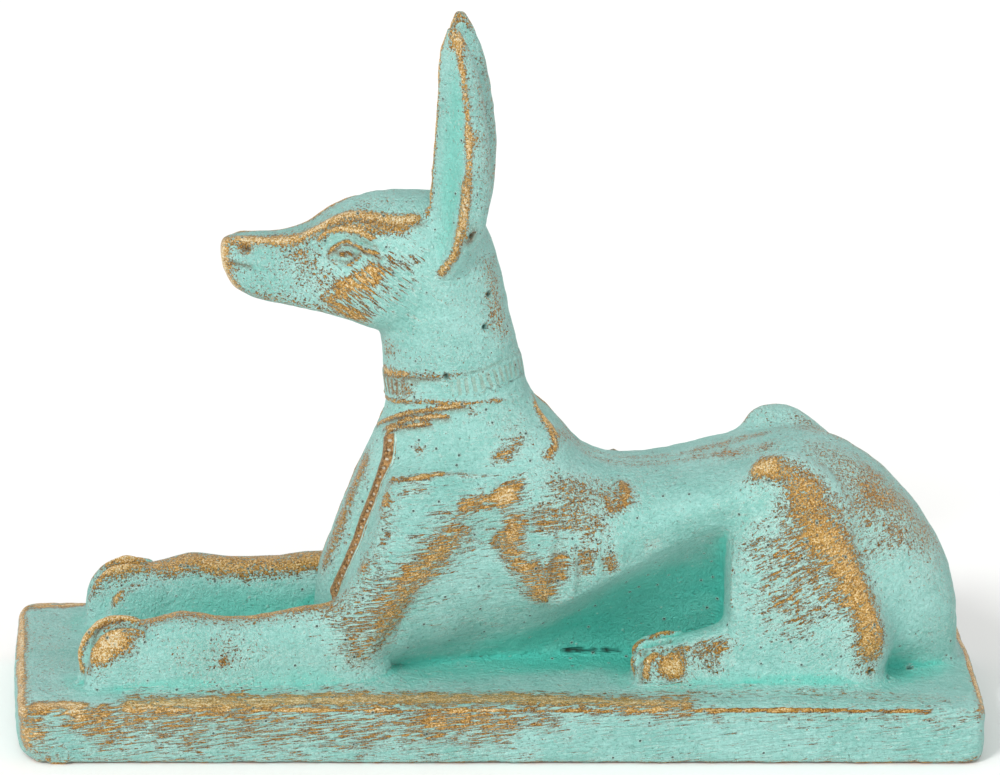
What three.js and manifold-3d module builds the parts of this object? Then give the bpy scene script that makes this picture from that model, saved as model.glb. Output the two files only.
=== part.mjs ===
// A jackal lying with its head up on a low rectangular plinth, the two cast together in one piece.
// Millimetres, +Z up. The muzzle points along -X, Y is across, and the origin is at the middle of the underside.

import * as THREE from "three";
import { mergeVertices } from "three/addons/utils/BufferGeometryUtils.js";
import Module from "manifold-3d";

const wasm = await Module();
wasm.setup();

// Driving sizes
const JACKAL_LENGTH = 83; // from the tips of the fore paws to the rump
const PLINTH_FRONT_MARGIN = 5.5; // bare plinth ahead of the fore paws
const PLINTH_REAR_MARGIN = 1.5; // bare plinth behind the rump
const PLINTH_SIDE_MARGIN = 4.5; // bare plinth beside the fore legs
const PLINTH_HEIGHT = 5.6;
const PLINTH_CORNER_RADIUS = 1.6; // its upright corners
const PLINTH_EDGE_RADIUS = 0.7; // the worn edge round its top
const PLINTH_FOOT_CHAMFER = 0.35; // round its underside

// The figure is drawn free hand, in the proportions below, and scaled as one form to JACKAL_LENGTH.
// The drawing measures heights from the plinth's underside, so its ground is the height of the plinth's top.
const DRAWN_FRONT = -39.45;
const DRAWN_REAR = 43.55;
const DRAWN_HALF_WIDTH = 12;
const DRAWN_GROUND = 5.6;
const ROOT = DRAWN_GROUND - 1; // limbs run down into the plinth as far as this, so that they join it

const SCALE = JACKAL_LENGTH / (DRAWN_REAR - DRAWN_FRONT);
const PLINTH_LENGTH = PLINTH_FRONT_MARGIN + JACKAL_LENGTH + PLINTH_REAR_MARGIN;
const PLINTH_WIDTH = 2 * (DRAWN_HALF_WIDTH * SCALE + PLINTH_SIDE_MARGIN);
const FIGURE_SHIFT = PLINTH_FRONT_MARGIN - PLINTH_LENGTH / 2 - DRAWN_FRONT * SCALE;

const signedPower = (value, power) => Math.sign(value) * Math.abs(value) ** power;
const average = (points) => [0, 1, 2].map((c) => points.reduce((sum, p) => sum + p[c], 0) / points.length);

/** The row at a place along a table of stations, on a Catmull-Rom spline through every column. */
function rowAt(stations, place) {
  const last = stations.length - 1;
  const k = THREE.MathUtils.clamp(Math.floor(place), 0, last - 1);
  const t = place - k;
  const at = (step) => stations[THREE.MathUtils.clamp(k + step, 0, last)];
  return stations[0].map((_, column) => {
    const [a, b, c, d] = [at(-1), at(0), at(1), at(2)].map((row) => row[column]);
    return b + 0.5 * t * (c - a + t * (2 * a - 5 * b + 4 * c - d + t * (3 * (b - c) + d - a)));
  });
}

const spread = (count, from, to) => Array.from({ length: count }, (_, i) => from + ((to - from) * i) / (count - 1));
const rowsBetween = (stations, count) => spread(count, 0, stations.length - 1).map((place) => rowAt(stations, place));

const turns = (sides, from = 0) => spread(sides + 1, from, from + 2 * Math.PI).slice(0, sides);

/**
 * A point of a section, which is a superellipse between its two ends p and q in the side view, `half` thick to each
 * side of y. Its squareness is 2 for an ellipse, and its lean is the share by which it is wider at the p end, where
 * the angle is 0.
 */
function pointOn({ p, q, y = 0, half, square = 2.3, lean = 0 }, angle, swell = 1) {
  const along = signedPower(Math.cos(angle), 2 / square) * swell;
  const across = signedPower(Math.sin(angle), 2 / square) * swell;
  const middle = [0, 1].map((c) => (p[c] + q[c]) / 2);
  const reach = [0, 1].map((c) => (p[c] - q[c]) / 2);
  return [middle[0] + reach[0] * along, y + half * across * (1 + lean * along), middle[1] + reach[1] * along];
}
const ring = (section, sides, swell) => turns(sides).map((angle) => pointOn(section, angle, swell));

/** Rings that round off an end: the end ring shrinks to its middle as a dome of the given length. */
function dome(end, next, length) {
  const [from, inner] = [average(end), average(next)];
  const out = new THREE.Vector3(...from).sub(new THREE.Vector3(...inner)).normalize().toArray();
  return [0.45, 0.8].map((share) => {
    const turn = (share * Math.PI) / 2;
    return end.map((point) =>
      point.map((value, c) => from[c] + (value - from[c]) * Math.cos(turn) + out[c] * length * Math.sin(turn)),
    );
  });
}

const domedStart = (rings, length) => [...dome(rings[0], rings[1], length).reverse(), ...rings];
const domedEnd = (rings, length) => [...rings, ...dome(rings.at(-1), rings.at(-2), length)];

/** A closed skin over rings of equally many points, with a fan to the middle of each end. */
function skin(rings) {
  const sides = rings[0].length;
  const top = (rings.length - 1) * sides;
  const points = [...rings.flat(), average(rings[0]), average(rings.at(-1))];
  const [start, end] = [points.length - 2, points.length - 1];
  const faces = [];
  for (let i = 0; i < sides; i++) {
    const j = (i + 1) % sides;
    faces.push(start, j, i, end, top + i, top + j);
    for (let k = 0; k < rings.length - 1; k++) {
      const [a, b] = [k * sides, (k + 1) * sides];
      faces.push(a + i, a + j, b + j, a + i, b + j, b + i);
    }
  }
  const geometry = new THREE.BufferGeometry();
  geometry.setAttribute("position", new THREE.Float32BufferAttribute(points.flat(), 3));
  geometry.setIndex(faces);
  return geometry;
}

/** A closed geometry as a solid, turned to face outwards. */
function solid(geometry) {
  const plain = geometry.clone();
  plain.deleteAttribute("normal");
  plain.deleteAttribute("uv");
  const merged = mergeVertices(plain, 1e-4);
  const position = merged.attributes.position;
  const triVerts = new Uint32Array(merged.index.array);
  const [a, b, c] = [new THREE.Vector3(), new THREE.Vector3(), new THREE.Vector3()];
  let volume = 0;
  for (let i = 0; i < triVerts.length; i += 3) {
    a.fromBufferAttribute(position, triVerts[i]);
    b.fromBufferAttribute(position, triVerts[i + 1]);
    c.fromBufferAttribute(position, triVerts[i + 2]);
    volume += a.dot(b.cross(c));
  }
  if (volume < 0) triVerts.reverse();
  return new wasm.Manifold(new wasm.Mesh({ numProp: 3, vertProperties: position.array, triVerts }));
}

const single = (rings) => [solid(skin(rings))];

/** A form on the near side and its mirror image on the far side, which may be set back by a little. */
function pair(rings, setBack = 0) {
  const across = rings.map((points) => points.map(([x, y, z]) => [x + setBack, -y, z]));
  return [solid(skin(rings)), solid(skin(across))];
}

/** A round bead of moulding along a line of points, thinning out at both ends. */
function bead(path, radius, steps = 8, sides = 5) {
  const curve = new THREE.CatmullRomCurve3(path.map((p) => new THREE.Vector3(...p)));
  const frames = curve.computeFrenetFrames(steps);
  return spread(steps + 1, 0, 1).map((place, k) => {
    const centre = curve.getPointAt(place);
    const thick = radius * Math.max(0.15, Math.sin(Math.PI * place)) ** 0.35;
    return turns(sides).map((angle) =>
      centre
        .clone()
        .addScaledVector(frames.normals[k], thick * Math.cos(angle))
        .addScaledVector(frames.binormals[k], thick * Math.sin(angle))
        .toArray(),
    );
  });
}

// The torso: x, height of the spine, half width, height of the belly's edge, half width of the keel below it, and
// how crisp the edge is, from 0 where the flank flows into the hollow below to 1 for a sharp one
const TORSO = [
  [-12, 20, 7.4, 10.5, 5, 0],
  [-9, 26, 8.2, 11.5, 2.8, 0],
  [-6, 28.4, 8.9, 13, 1.5, 0],
  [-1.5, 30.35, 9.3, 16.5, 0.9, 0.05],
  [0.8, 30.8, 9.5, 16.5, 0.8, 0.2],
  [2.8, 30.8, 9.6, 14.6, 0.8, 0.4],
  [5.2, 29.1, 9.7, 13.3, 0.8, 0.8],
  [7.6, 26.25, 9.7, 14.1, 0.8, 1],
  [10, 25.1, 9.6, 15.6, 0.8, 1],
  [13, 24.75, 9.4, 17.3, 0.8, 1],
  [17, 25.1, 9.4, 19.7, 0.9, 1],
  [21, 25.95, 9.7, 21.2, 1, 1],
  [24, 26.6, 9.8, 21.4, 1.2, 1],
];

const widestHeight = (spine, edge) => edge + 0.35 * (spine - edge);
const BACK_ROUNDING = 2 / 2.2; // the exponent of its superellipse

/** A torso section: a rounded back and flank down to the belly's edge, then a hollow sweep in to the keel. */
function torsoRing([x, spine, half, edge, keel, crisp]) {
  const widest = widestHeight(spine, edge);
  const back = spread(6, 0, Math.PI / 2).map((angle) => [
    half * Math.sin(angle) ** BACK_ROUNDING,
    widest + (spine - widest) * Math.cos(angle) ** BACK_ROUNDING,
  ]);
  const under = spread(6, 1, 0).slice(1).map((up) => {
    const hollow = crisp * up ** 2.4 + (1 - crisp) * Math.sin((Math.PI / 2) * up);
    return [keel + (half - keel) * (1 - 0.03 * crisp) * hollow, ROOT + (edge - ROOT) * up];
  });
  const side = [...back, ...under];
  return [...side, ...side.slice(1).map(([y, z]) => [-y, z]).reverse()].map(([y, z]) => [x, y, z]);
}

const torso = () => single(rowsBetween(TORSO, 15).map(torsoRing));

function rump() {
  // x, height of the spine, half width
  const stations = [
    [21.4, 25.1, 9.3],
    [24, 26.6, 9.6],
    [27, 27.3, 9.8],
    [30, 27.2, 9.8],
    [33, 26.15, 9.4],
    [36, 24.15, 8.6],
    [38.5, 21.7, 7.5],
    [40.6, 18.8, 6.3],
    [42.2, 15.65, 5],
    [43.1, 12.4, 3.7],
  ];
  const rings = rowsBetween(stations, 11).map(([x, spine, half]) =>
    ring({ p: [x, spine], q: [x, ROOT], half, square: 2.4, lean: 0.1 }, 20),
  );
  return single(domedEnd(rings, 0.45));
}

// Neck and breast: throat x and height, nape x and height, half width
const NECK = [
  [-17.2, ROOT, -9, ROOT, 4.6],
  [-17.1, 12.5, -3, 13, 6.2],
  [-15.4, 18.6, 4, 20, 7.6],
  [-13.55, 23.5, 6.6, 25, 7.9],
  [-12.05, 27, 5.4, 28.4, 7],
  [-10.95, 29.4, 3.2, 31.2, 6],
  [-10.7, 30.8, 2.25, 33, 5.5],
  [-11, 33.3, 1.75, 35.4, 5.2],
  [-11.1, 35.6, 1.05, 38.4, 5.1],
  [-11.2, 38, 0.42, 41, 5.1],
  [-10.8, 42, -0.38, 44.4, 5],
  [-9.6, 46, -1.55, 47.8, 4.3],
];
const COLLAR = [6, 7]; // from which to which of the stations above it lies
const COLLAR_SWELL = 1.04;
const COLLAR_RIM_SWELL = 1.075;
const SASH_ANGLE = 0.62; // how far round the breast from the middle line the sashes hang

const neckSection = ([px, pz, qx, qz, half]) => ({ p: [px, pz], q: [qx, qz], half, square: 2.1 });
const neck = () => single(rowsBetween(NECK, 14).map((row) => ring(neckSection(row), 18)));

/** The collar: a band round the neck, with a rim along each edge that stands out further. */
function collar() {
  const profile = [
    [0, 0.97],
    [0.02, COLLAR_RIM_SWELL],
    [0.2, COLLAR_RIM_SWELL],
    [0.24, COLLAR_SWELL],
    [0.76, COLLAR_SWELL],
    [0.8, COLLAR_RIM_SWELL],
    [0.98, COLLAR_RIM_SWELL],
    [1, 0.97],
  ];
  const rings = profile.map(([share, swell]) => {
    const place = COLLAR[0] + (COLLAR[1] - COLLAR[0]) * share;
    return ring(neckSection(rowAt(NECK, place)), 20, swell);
  });
  return single(rings);
}

// The head, nose first: x and height of the top, x and height of the underside, half width, squareness, lean
const HEAD = [
  [-26.4, 46.35, -25.85, 42.7, 1.55, 3, -0.1],
  [-25.3, 46.75, -24.8, 41.3, 2.05, 3, -0.14],
  [-22.8, 46.85, -22.4, 40.5, 2.55, 2.9, -0.2],
  [-20, 47.05, -19.6, 40, 3, 3, -0.2],
  [-18, 47.75, -17.6, 39.55, 3.5, 3, -0.18],
  [-16.2, 49.05, -15.6, 39.1, 4.1, 3, -0.14],
  [-14.3, 50.05, -13.8, 38.6, 4.6, 3, -0.1],
  [-12, 50.65, -12, 38, 5, 2.9, -0.08],
  [-9, 50.8, -9.2, 38, 5.3, 2.7, -0.06],
  [-5.8, 50.55, -6, 39.5, 5.2, 2.5, 0],
  [-3, 49.4, -3.4, 42.4, 4.3, 2.2, 0],
];
const headSection = ([px, pz, qx, qz, half, square, lean]) => ({ p: [px, pz], q: [qx, qz], half, square, lean });
const headRings = () => rowsBetween(HEAD, 17).map((row) => ring(headSection(row), 20));
const head = () => single(domedEnd(domedStart(headRings(), 0.25), 1));

/** How far out the side of the head is at a place in the side view. */
function cheek(x, z) {
  const place = spread(201, 0, HEAD.length - 1).find((at) => rowAt(HEAD, at)[0] >= x);
  const { p, q, half, square, lean } = headSection(rowAt(HEAD, place));
  const along = THREE.MathUtils.clamp((2 * z - p[1] - q[1]) / (p[1] - q[1]), -0.98, 0.98);
  return half * (1 - Math.abs(along) ** square) ** (1 / square) * (1 + lean * along);
}
const onCheek = (points, proud) => points.map(([x, z]) => [x, -cheek(x, z) - proud, z]);

/** The ridge that runs from the nose over the brow to the ear, along the edge of the flat top. */
function browRidges() {
  const edge = spread(9, 1, 8.6).map((place) => pointOn(headSection(rowAt(HEAD, place)), -0.7));
  return pair(bead(edge, 0.45, 12));
}

const EYE = { x: -15.2, z: 45.9 };

function eyes() {
  const upperLid = [[-17, 45.9], [-16.2, 46.6], [-15.2, 46.9], [-14.1, 46.7], [-13.2, 46.2], [-12, 45.9]];
  const lowerLid = [[-16.9, 45.7], [-16, 45.1], [-15.1, 44.9], [-14.1, 45.3], [-13.2, 46]];
  const ball = new THREE.SphereGeometry(1, 8, 6).scale(1.15, 0.5, 0.75);
  ball.translate(EYE.x, 0.15 - cheek(EYE.x, EYE.z), EYE.z);
  const other = ball.clone().scale(1, -1, 1);
  const lids = [...pair(bead(onCheek(upperLid, 0), 0.3)), ...pair(bead(onCheek(lowerLid, 0), 0.26))];
  return [...lids, solid(ball), solid(other)];
}

const FAR_EAR_SET_BACK = 0.95;

function ears() {
  // middle x and y, height, half depth along X, half width, how hollow
  const stations = [
    [-5.9, -4.1, 43.4, 0.9, 1.1, 0.1],
    [-5.4, -4.4, 45.4, 1.9, 1.8, 0.3],
    [-4.8, -4.5, 48, 2.7, 2.3, 0.48],
    [-4.4, -4.3, 51.5, 2.88, 2.5, 0.54],
    [-4.27, -4.1, 55, 2.72, 2.4, 0.54],
    [-4.35, -3.9, 58.5, 2.47, 2.2, 0.52],
    [-4.58, -3.7, 62, 2.05, 1.8, 0.46],
    [-4.93, -3.5, 64.8, 1.5, 1.25, 0.35],
    [-5.15, -3.4, 67, 0.65, 0.6, 0.1],
  ];
  const facing = THREE.MathUtils.degToRad(220); // the hollow's direction seen from above, from +X
  const reach = THREE.MathUtils.degToRad(62); // half its spread
  const rings = rowsBetween(stations, 11).map(([x, y, z, depth, width, hollow]) =>
    turns(14).map((turn) => {
      const angle = facing + turn;
      const off = Math.min(Math.min(turn, 2 * Math.PI - turn) / reach, 1);
      const inward = 1 - hollow * Math.cos((off * Math.PI) / 2) ** 0.7;
      return [x + depth * Math.cos(angle) * inward, y + width * Math.sin(angle) * inward, z];
    }),
  );
  return pair(domedEnd(rings, 0.35), FAR_EAR_SET_BACK);
}

/**
 * A leg lying along the plinth, paw first. Columns: x, height of its top, half width, middle y, depth of the
 * grooves between the toes. The grooves run along fixed places of the section, over the top and down the front.
 */
function lyingLeg(stations, ringCount) {
  const sides = 18;
  const grooved = [0, 2, sides - 2];
  return rowsBetween(stations, ringCount).map(([x, top, half, y, groove]) => {
    const middle = (top + DRAWN_GROUND) / 2;
    return ring({ p: [x, top], q: [x, ROOT], y, half, square: 2.5, lean: -0.05 }, sides).map((point, i) => {
      const [, across, z] = point;
      return grooved.includes(i) ? [x, y + (across - y) * (1 - 0.3 * groove), z - (z - middle) * groove] : point;
    });
  });
}

const FAR_FORE_LEG_SET_BACK = 0.9;

const foreLegs = () =>
  pair(
    domedEnd(
      lyingLeg(
        [
          [-39.45, 7.4, 1.6, -8.6, 0.3],
          [-39.1, 9.2, 2.4, -8.7, 0.34],
          [-38.1, 10.8, 2.9, -8.8, 0.32],
          [-36.4, 11.8, 3.1, -8.9, 0.24],
          [-34.4, 12.05, 3, -9, 0.1],
          [-32.2, 11.95, 2.9, -9.1, 0],
          [-29.7, 12.65, 2.95, -9.1, 0],
          [-27.6, 12.3, 2.9, -9.1, 0],
          [-25.2, 12.05, 2.8, -9, 0],
          [-21.5, 12.3, 2.8, -8.7, 0],
          [-18, 13.05, 2.8, -8.4, 0],
          [-15, 13, 2.8, -8, 0],
          [-12.6, 11, 2.3, -7.8, 0],
        ],
        14,
      ),
      1.2,
    ),
    FAR_FORE_LEG_SET_BACK,
  );

function upperArms() {
  // height, front x, rear x, middle y, half width
  const stations = [
    [ROOT, -18.6, -12.8, -8, 2.4],
    [8.8, -17.9, -11.2, -8.1, 2.8],
    [12.5, -15.9, -9.4, -8, 3.1],
    [15.9, -14, -6.6, -7.6, 3.4],
    [19.3, -12.5, -3.7, -7.2, 3.6],
    [22.2, -11.6, -0.9, -6.8, 3.7],
    [24.2, -11.1, 0.9, -6.4, 3.5],
    [25.6, -10.5, 0.9, -5.9, 2.8],
  ];
  const rings = rowsBetween(stations, 10).map(([z, front, rear, y, half]) =>
    ring({ p: [front, z], q: [rear, z], y, half, square: 2.4 }, 16),
  );
  return pair(domedEnd(rings, 1.2));
}

const FAR_KNEE_SET_BACK = 0.7;

/** The folded hind leg: shin and thigh as one upright slab, square in front and rounded at the knee. */
function thighs() {
  // height, front x, rear x, middle y, half width, squareness
  const stations = [
    [ROOT, 21.3, 35.4, -6.6, 4.3, 4],
    [10, 21.1, 36.7, -6.8, 4.4, 4],
    [14.5, 21.1, 35.3, -6.7, 4.4, 4],
    [18.4, 21.1, 34, -6.6, 4.4, 3.6],
    [22, 21.6, 33.2, -6.7, 4, 3],
    [24.6, 22.2, 31.8, -7.1, 3.4, 2.4],
    [26.4, 22.9, 30, -7.6, 2.6, 2.1],
    [27.6, 23.9, 28.2, -7.9, 1.7, 2],
  ];
  const rings = rowsBetween(stations, 9).map(([z, front, rear, y, half, square]) =>
    ring({ p: [front, z], q: [rear, z], y, half, square }, 18),
  );
  return pair(domedEnd(rings, 0.4), FAR_KNEE_SET_BACK);
}

const hindFeet = () =>
  pair(
    lyingLeg(
      [
        [12.2, 6.8, 1.5, -8.3, 0.3],
        [12.5, 7.8, 2, -8.3, 0.34],
        [13.3, 8.7, 2.3, -8.3, 0.32],
        [14.8, 9.3, 2.4, -8.2, 0.22],
        [16.8, 10.05, 2.4, -8.1, 0.08],
        [18.7, 10.6, 2.5, -8, 0],
        [20.7, 11.3, 2.6, -8, 0],
        [23, 12.2, 2.6, -8, 0],
      ],
      8,
    ),
  );

/** The two bands that hang from the collar, down the corners of the breast to the inside of the fore legs. */
function sashes() {
  const path = spread(7, 1, 5.7).map((place) => pointOn(neckSection(rowAt(NECK, place)), -SASH_ANGLE));
  return pair(bead(path, 0.8, 8));
}

/** How far out the flank is at a place in the side view. */
function flank(x, z) {
  const place = spread(201, 0, TORSO.length - 1).find((at) => rowAt(TORSO, at)[0] >= x);
  const [, spine, half, edge] = rowAt(TORSO, place);
  const widest = widestHeight(spine, edge);
  if (z < widest) return half;
  return half * (1 - ((z - widest) / (spine - widest)) ** (2 / BACK_ROUNDING)) ** (BACK_ROUNDING / 2);
}

const RIBS = { count: 4, first: 4.6, last: 11.2, foot: 15, slope: 0.42, top: 21.2 };

/** Ribs that show through the flank behind the shoulder, their feet rising with the belly's edge. */
const ribs = () =>
  spread(RIBS.count, RIBS.first, RIBS.last).flatMap((x) => {
    const foot = RIBS.foot + RIBS.slope * (x - RIBS.first);
    return pair(bead(spread(4, foot, RIBS.top).map((z) => [x, -flank(x, z), z]), 0.4, 4));
  });

function plinth() {
  const [halfLength, halfWidth, corner] = [PLINTH_LENGTH / 2, PLINTH_WIDTH / 2, PLINTH_CORNER_RADIUS];
  const outline = (inset, z) =>
    [[1, 1], [-1, 1], [-1, -1], [1, -1]].flatMap(([sx, sy], quarter) =>
      spread(4, quarter, quarter + 1).map((turns) => [
        sx * (halfLength - corner) + (corner - inset) * Math.cos((turns * Math.PI) / 2),
        sy * (halfWidth - corner) + (corner - inset) * Math.sin((turns * Math.PI) / 2),
        z,
      ]),
    );
  const worn = spread(4, 0, Math.PI / 2).map((turn) =>
    outline(PLINTH_EDGE_RADIUS * (1 - Math.cos(turn)), PLINTH_HEIGHT - PLINTH_EDGE_RADIUS * (1 - Math.sin(turn))),
  );
  return solid(skin([outline(PLINTH_FOOT_CHAMFER, 0), outline(0, PLINTH_FOOT_CHAMFER), ...worn]));
}

const upperForms = [neck, collar, head, browRidges, eyes, ears, sashes];
const lowerForms = [torso, rump, foreLegs, upperArms, thighs, hindFeet, ribs];
const figure = [...lowerForms, ...upperForms]
  .flatMap((make) => make())
  .reduce((whole, piece) => whole.add(piece))
  .translate(0, 0, -DRAWN_GROUND)
  .scale(SCALE)
  .translate(FIGURE_SHIFT, 0, PLINTH_HEIGHT);
const cast = figure.add(plinth()).getMesh();

const geometry = new THREE.BufferGeometry();
geometry.setAttribute("position", new THREE.Float32BufferAttribute(cast.vertProperties, cast.numProp));
geometry.setIndex(new THREE.Uint32BufferAttribute(cast.triVerts, 1));
geometry.computeVertexNormals();

const patina = new THREE.MeshStandardMaterial({ color: 0x8ccfc2, roughness: 0.6, metalness: 0.1 });
const jackal = new THREE.Mesh(geometry, patina);
jackal.name = "jackal_figure";

const object = new THREE.Group();
object.add(jackal);
export default object;
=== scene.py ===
from math import radians, sin, cos

import bpy
import numpy as np
from mathutils import Matrix, Vector


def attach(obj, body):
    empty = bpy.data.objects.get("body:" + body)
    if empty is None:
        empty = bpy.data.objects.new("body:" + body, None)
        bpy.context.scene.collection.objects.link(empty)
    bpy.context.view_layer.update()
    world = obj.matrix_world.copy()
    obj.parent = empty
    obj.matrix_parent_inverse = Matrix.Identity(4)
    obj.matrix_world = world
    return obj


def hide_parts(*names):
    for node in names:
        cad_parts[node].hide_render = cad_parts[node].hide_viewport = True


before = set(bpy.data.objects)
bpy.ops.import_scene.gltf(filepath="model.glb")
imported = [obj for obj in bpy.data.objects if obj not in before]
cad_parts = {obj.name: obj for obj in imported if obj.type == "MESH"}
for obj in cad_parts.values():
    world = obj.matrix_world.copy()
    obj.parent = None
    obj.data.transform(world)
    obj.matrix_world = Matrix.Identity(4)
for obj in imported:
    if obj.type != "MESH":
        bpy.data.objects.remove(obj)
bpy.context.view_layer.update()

# Trunk and rump
# The real piece is a souvenir cast in one go in resin: a jackal that lies with its head up on a low plinth.
# The trunk sags behind the shoulders and sweeps in under the ribs to a narrow keel that stands on the
# plinth. All is drawn in millimetres with heights from the plinth's underside. Rows are stations along the
# body.

ROOT = 4.6  # the trunk and the upright forms run down into the plinth as far as this
SUNK = 1  # the lying limbs' ovals reach down to this, so that their sides stand upright at the plinth's top
GROUND = 5.6  # the plinth's top
SIDES = 96  # points round each oval


def rows_along(stations, count):
    """Rows evenly spread along a table of stations. Each column follows a Catmull-Rom spline through its
    values."""
    table = np.array(stations, float)
    place = np.linspace(0, len(table) - 1, count)
    k = np.clip(place.astype(int), 0, len(table) - 2)
    t = (place - k)[:, None]
    a, b, c, d = (table[np.clip(k + step, 0, len(table) - 1)] for step in (-1, 0, 1, 2))
    return b + 0.5 * t * (c - a + t * (2 * a - 5 * b + 4 * c - d + t * (3 * (b - c) + d - a)))


def signed_power(value, power):
    """The power of the size of a value, with the value's sign."""
    return np.sign(value) * np.abs(value) ** power


def bell(value, middle, reach, power=2):
    """1 in the middle, falling off to both sides as exp(-t to the power), where t is the distance from the
    middle over the reach. A high power gives a flat top."""
    return np.exp(-(((value - middle) / reach) ** power))


def oval_rings(px, pz, qx, qz, y, half, square=2.3, lean=0.0):
    """One ring a row: a superellipse between the ends p and q in the side view, half thick to each side of
    y. The lean is the share by which it is wider at p than in the middle."""
    turn = np.linspace(0, 2 * np.pi, SIDES, endpoint=False)[None, :]
    px, pz, qx, qz, y, half, square, lean = (
        np.broadcast_to(np.asarray(values, float), np.shape(px))[:, None]
        for values in (px, pz, qx, qz, y, half, square, lean)
    )
    along = signed_power(np.cos(turn), 2 / square)
    across = signed_power(np.sin(turn), 2 / square)
    x = (px + qx) / 2 + (px - qx) / 2 * along
    z = (pz + qz) / 2 + (pz - qz) / 2 * along
    return np.stack([x, y + half * across * (1 + lean * along), z], -1)


def domed(rings, start=0.0, end=0.0, steps=9):
    """The rings with a round dome of the given length on either end: a ring shrinks as the cosine of a turn
    and moves out as its sine."""
    for length, flip in ((start, True), (end, False)):
        if length == 0:
            continue
        rings = rings[::-1] if flip else rings
        middle, before = rings[-1].mean(0), rings[-2].mean(0)
        out = (middle - before) / np.linalg.norm(middle - before)
        turn = np.linspace(0, np.pi / 2, steps)[1:-1, None, None]
        cap = middle + (rings[-1][None] - middle) * np.cos(turn) + out * length * np.sin(turn)
        rings = np.concatenate([rings, cap])
        rings = rings[::-1] if flip else rings
    return rings


def skin(rings):
    """Points and triangles of a closed skin over rings of equally many points, with a fan to each end's
    middle."""
    count, sides = rings.shape[:2]
    points = np.concatenate([rings.reshape(-1, 3), rings[0].mean(0)[None], rings[-1].mean(0)[None]])
    i = np.arange(sides)
    j = (i + 1) % sides
    row = np.arange(count - 1)[:, None] * sides
    a, b, c, d = row + i, row + j, row + sides + j, row + sides + i
    first, last = count * sides, count * sides + 1
    top = (count - 1) * sides
    triangles = np.concatenate([
        np.stack([a, b, c], -1).reshape(-1, 3),
        np.stack([a, c, d], -1).reshape(-1, 3),
        np.stack([np.full(sides, first), j, i], -1),
        np.stack([np.full(sides, last), top + i, top + j], -1),
    ])
    p, q, r = (points[corner] for corner in triangles.T)
    volume = np.einsum("ij,ij->i", p, np.cross(q, r)).sum()
    return points, triangles if volume > 0 else triangles[:, ::-1]


def across(form, set_back=0.0):
    """The form's mirror image on the far side, set back along the body."""
    points, triangles = form
    return points * [1, -1, 1] + [set_back, 0, 0], triangles[:, ::-1]


# x, height of the spine, half width, height of the belly's edge, half width of the keel, how crisp the edge
# is
TRUNK = [
    (-12, 20, 7.4, 10.5, 5, 0),
    (-9, 26, 8.2, 11.5, 2.8, 0),
    (-6, 28.4, 8.9, 13, 1.5, 0),
    (-1.5, 30.35, 9.3, 16.5, 0.9, 0.05),
    (0.8, 30.8, 9.5, 16.5, 0.8, 0.2),
    (2.8, 30.8, 9.6, 14.8, 0.8, 0.4),
    (5.2, 29.1, 9.7, 13.6, 0.8, 0.8),
    (7.6, 26.25, 9.7, 14.5, 0.8, 1),
    (10, 25.1, 9.6, 16, 0.8, 1),
    (13, 24.75, 9.4, 17.7, 0.8, 1),
    (17, 25.1, 9.4, 20.2, 0.9, 1),
    (21, 25.95, 9.7, 21.8, 1, 1),
    (24, 26.6, 9.8, 22, 1.2, 1),
]
WIDEST_AT = 0.35  # the trunk is widest at this share of the height from the belly's edge to the spine
BACK_ROUND = 0.91  # below 1 the back is squarer than an ellipse
COVE_POWER = 2.4  # above 1 the cove below a crisp edge stays narrow for longer
EDGE_STEP = 0.03  # the share of the width by which a crisp edge stands out over the cove
x, spine, half, edge, keel, crisp = (column[:, None] for column in rows_along(TRUNK, 150).T)
widest = edge + WIDEST_AT * (spine - edge)
turn = np.linspace(0, np.pi / 2, 30)[None, :]
up = np.linspace(1, 0, 24)[None, 1:]
cove = crisp * up**COVE_POWER + (1 - crisp) * np.sin(np.pi / 2 * up)
back_y = half * np.sin(turn) ** BACK_ROUND
back_z = widest + (spine - widest) * np.cos(turn).clip(0) ** BACK_ROUND
side_y = np.concatenate([back_y, keel + (half - keel) * (1 - EDGE_STEP * crisp) * cove], 1)
side_z = np.concatenate([back_z, ROOT + (edge - ROOT) * up], 1)
trunk_rings = np.stack([
    np.broadcast_to(x, (len(x), 2 * side_y.shape[1] - 1)),
    np.concatenate([side_y, -side_y[:, :0:-1]], 1),
    np.concatenate([side_z, side_z[:, :0:-1]], 1),
], -1)
trunk = skin(trunk_rings)

# x, height of the spine, half width
RUMP = [
    (21.4, 25.1, 9.3),
    (24, 26.6, 9.6),
    (27, 27.3, 9.8),
    (30, 27.2, 9.8),
    (33, 26.15, 9.4),
    (36, 24.15, 8.6),
    (38.5, 21.7, 7.5),
    (40.6, 18.8, 6.3),
    (42.2, 15.65, 5),
    (43.1, 12.4, 3.7),
]
x, spine, half = rows_along(RUMP, 90).T
rump = skin(domed(oval_rings(x, spine, x, ROOT, 0, half, 2.4, 0.1), end=0.45))

# Neck, breast and head
# The neck rises from between the shoulders as one tapering oval column, with the long narrow head across
# its top. The head has a flat top, a square muzzle and full cheeks. Both belong to the same casting as the
# trunk.

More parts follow.
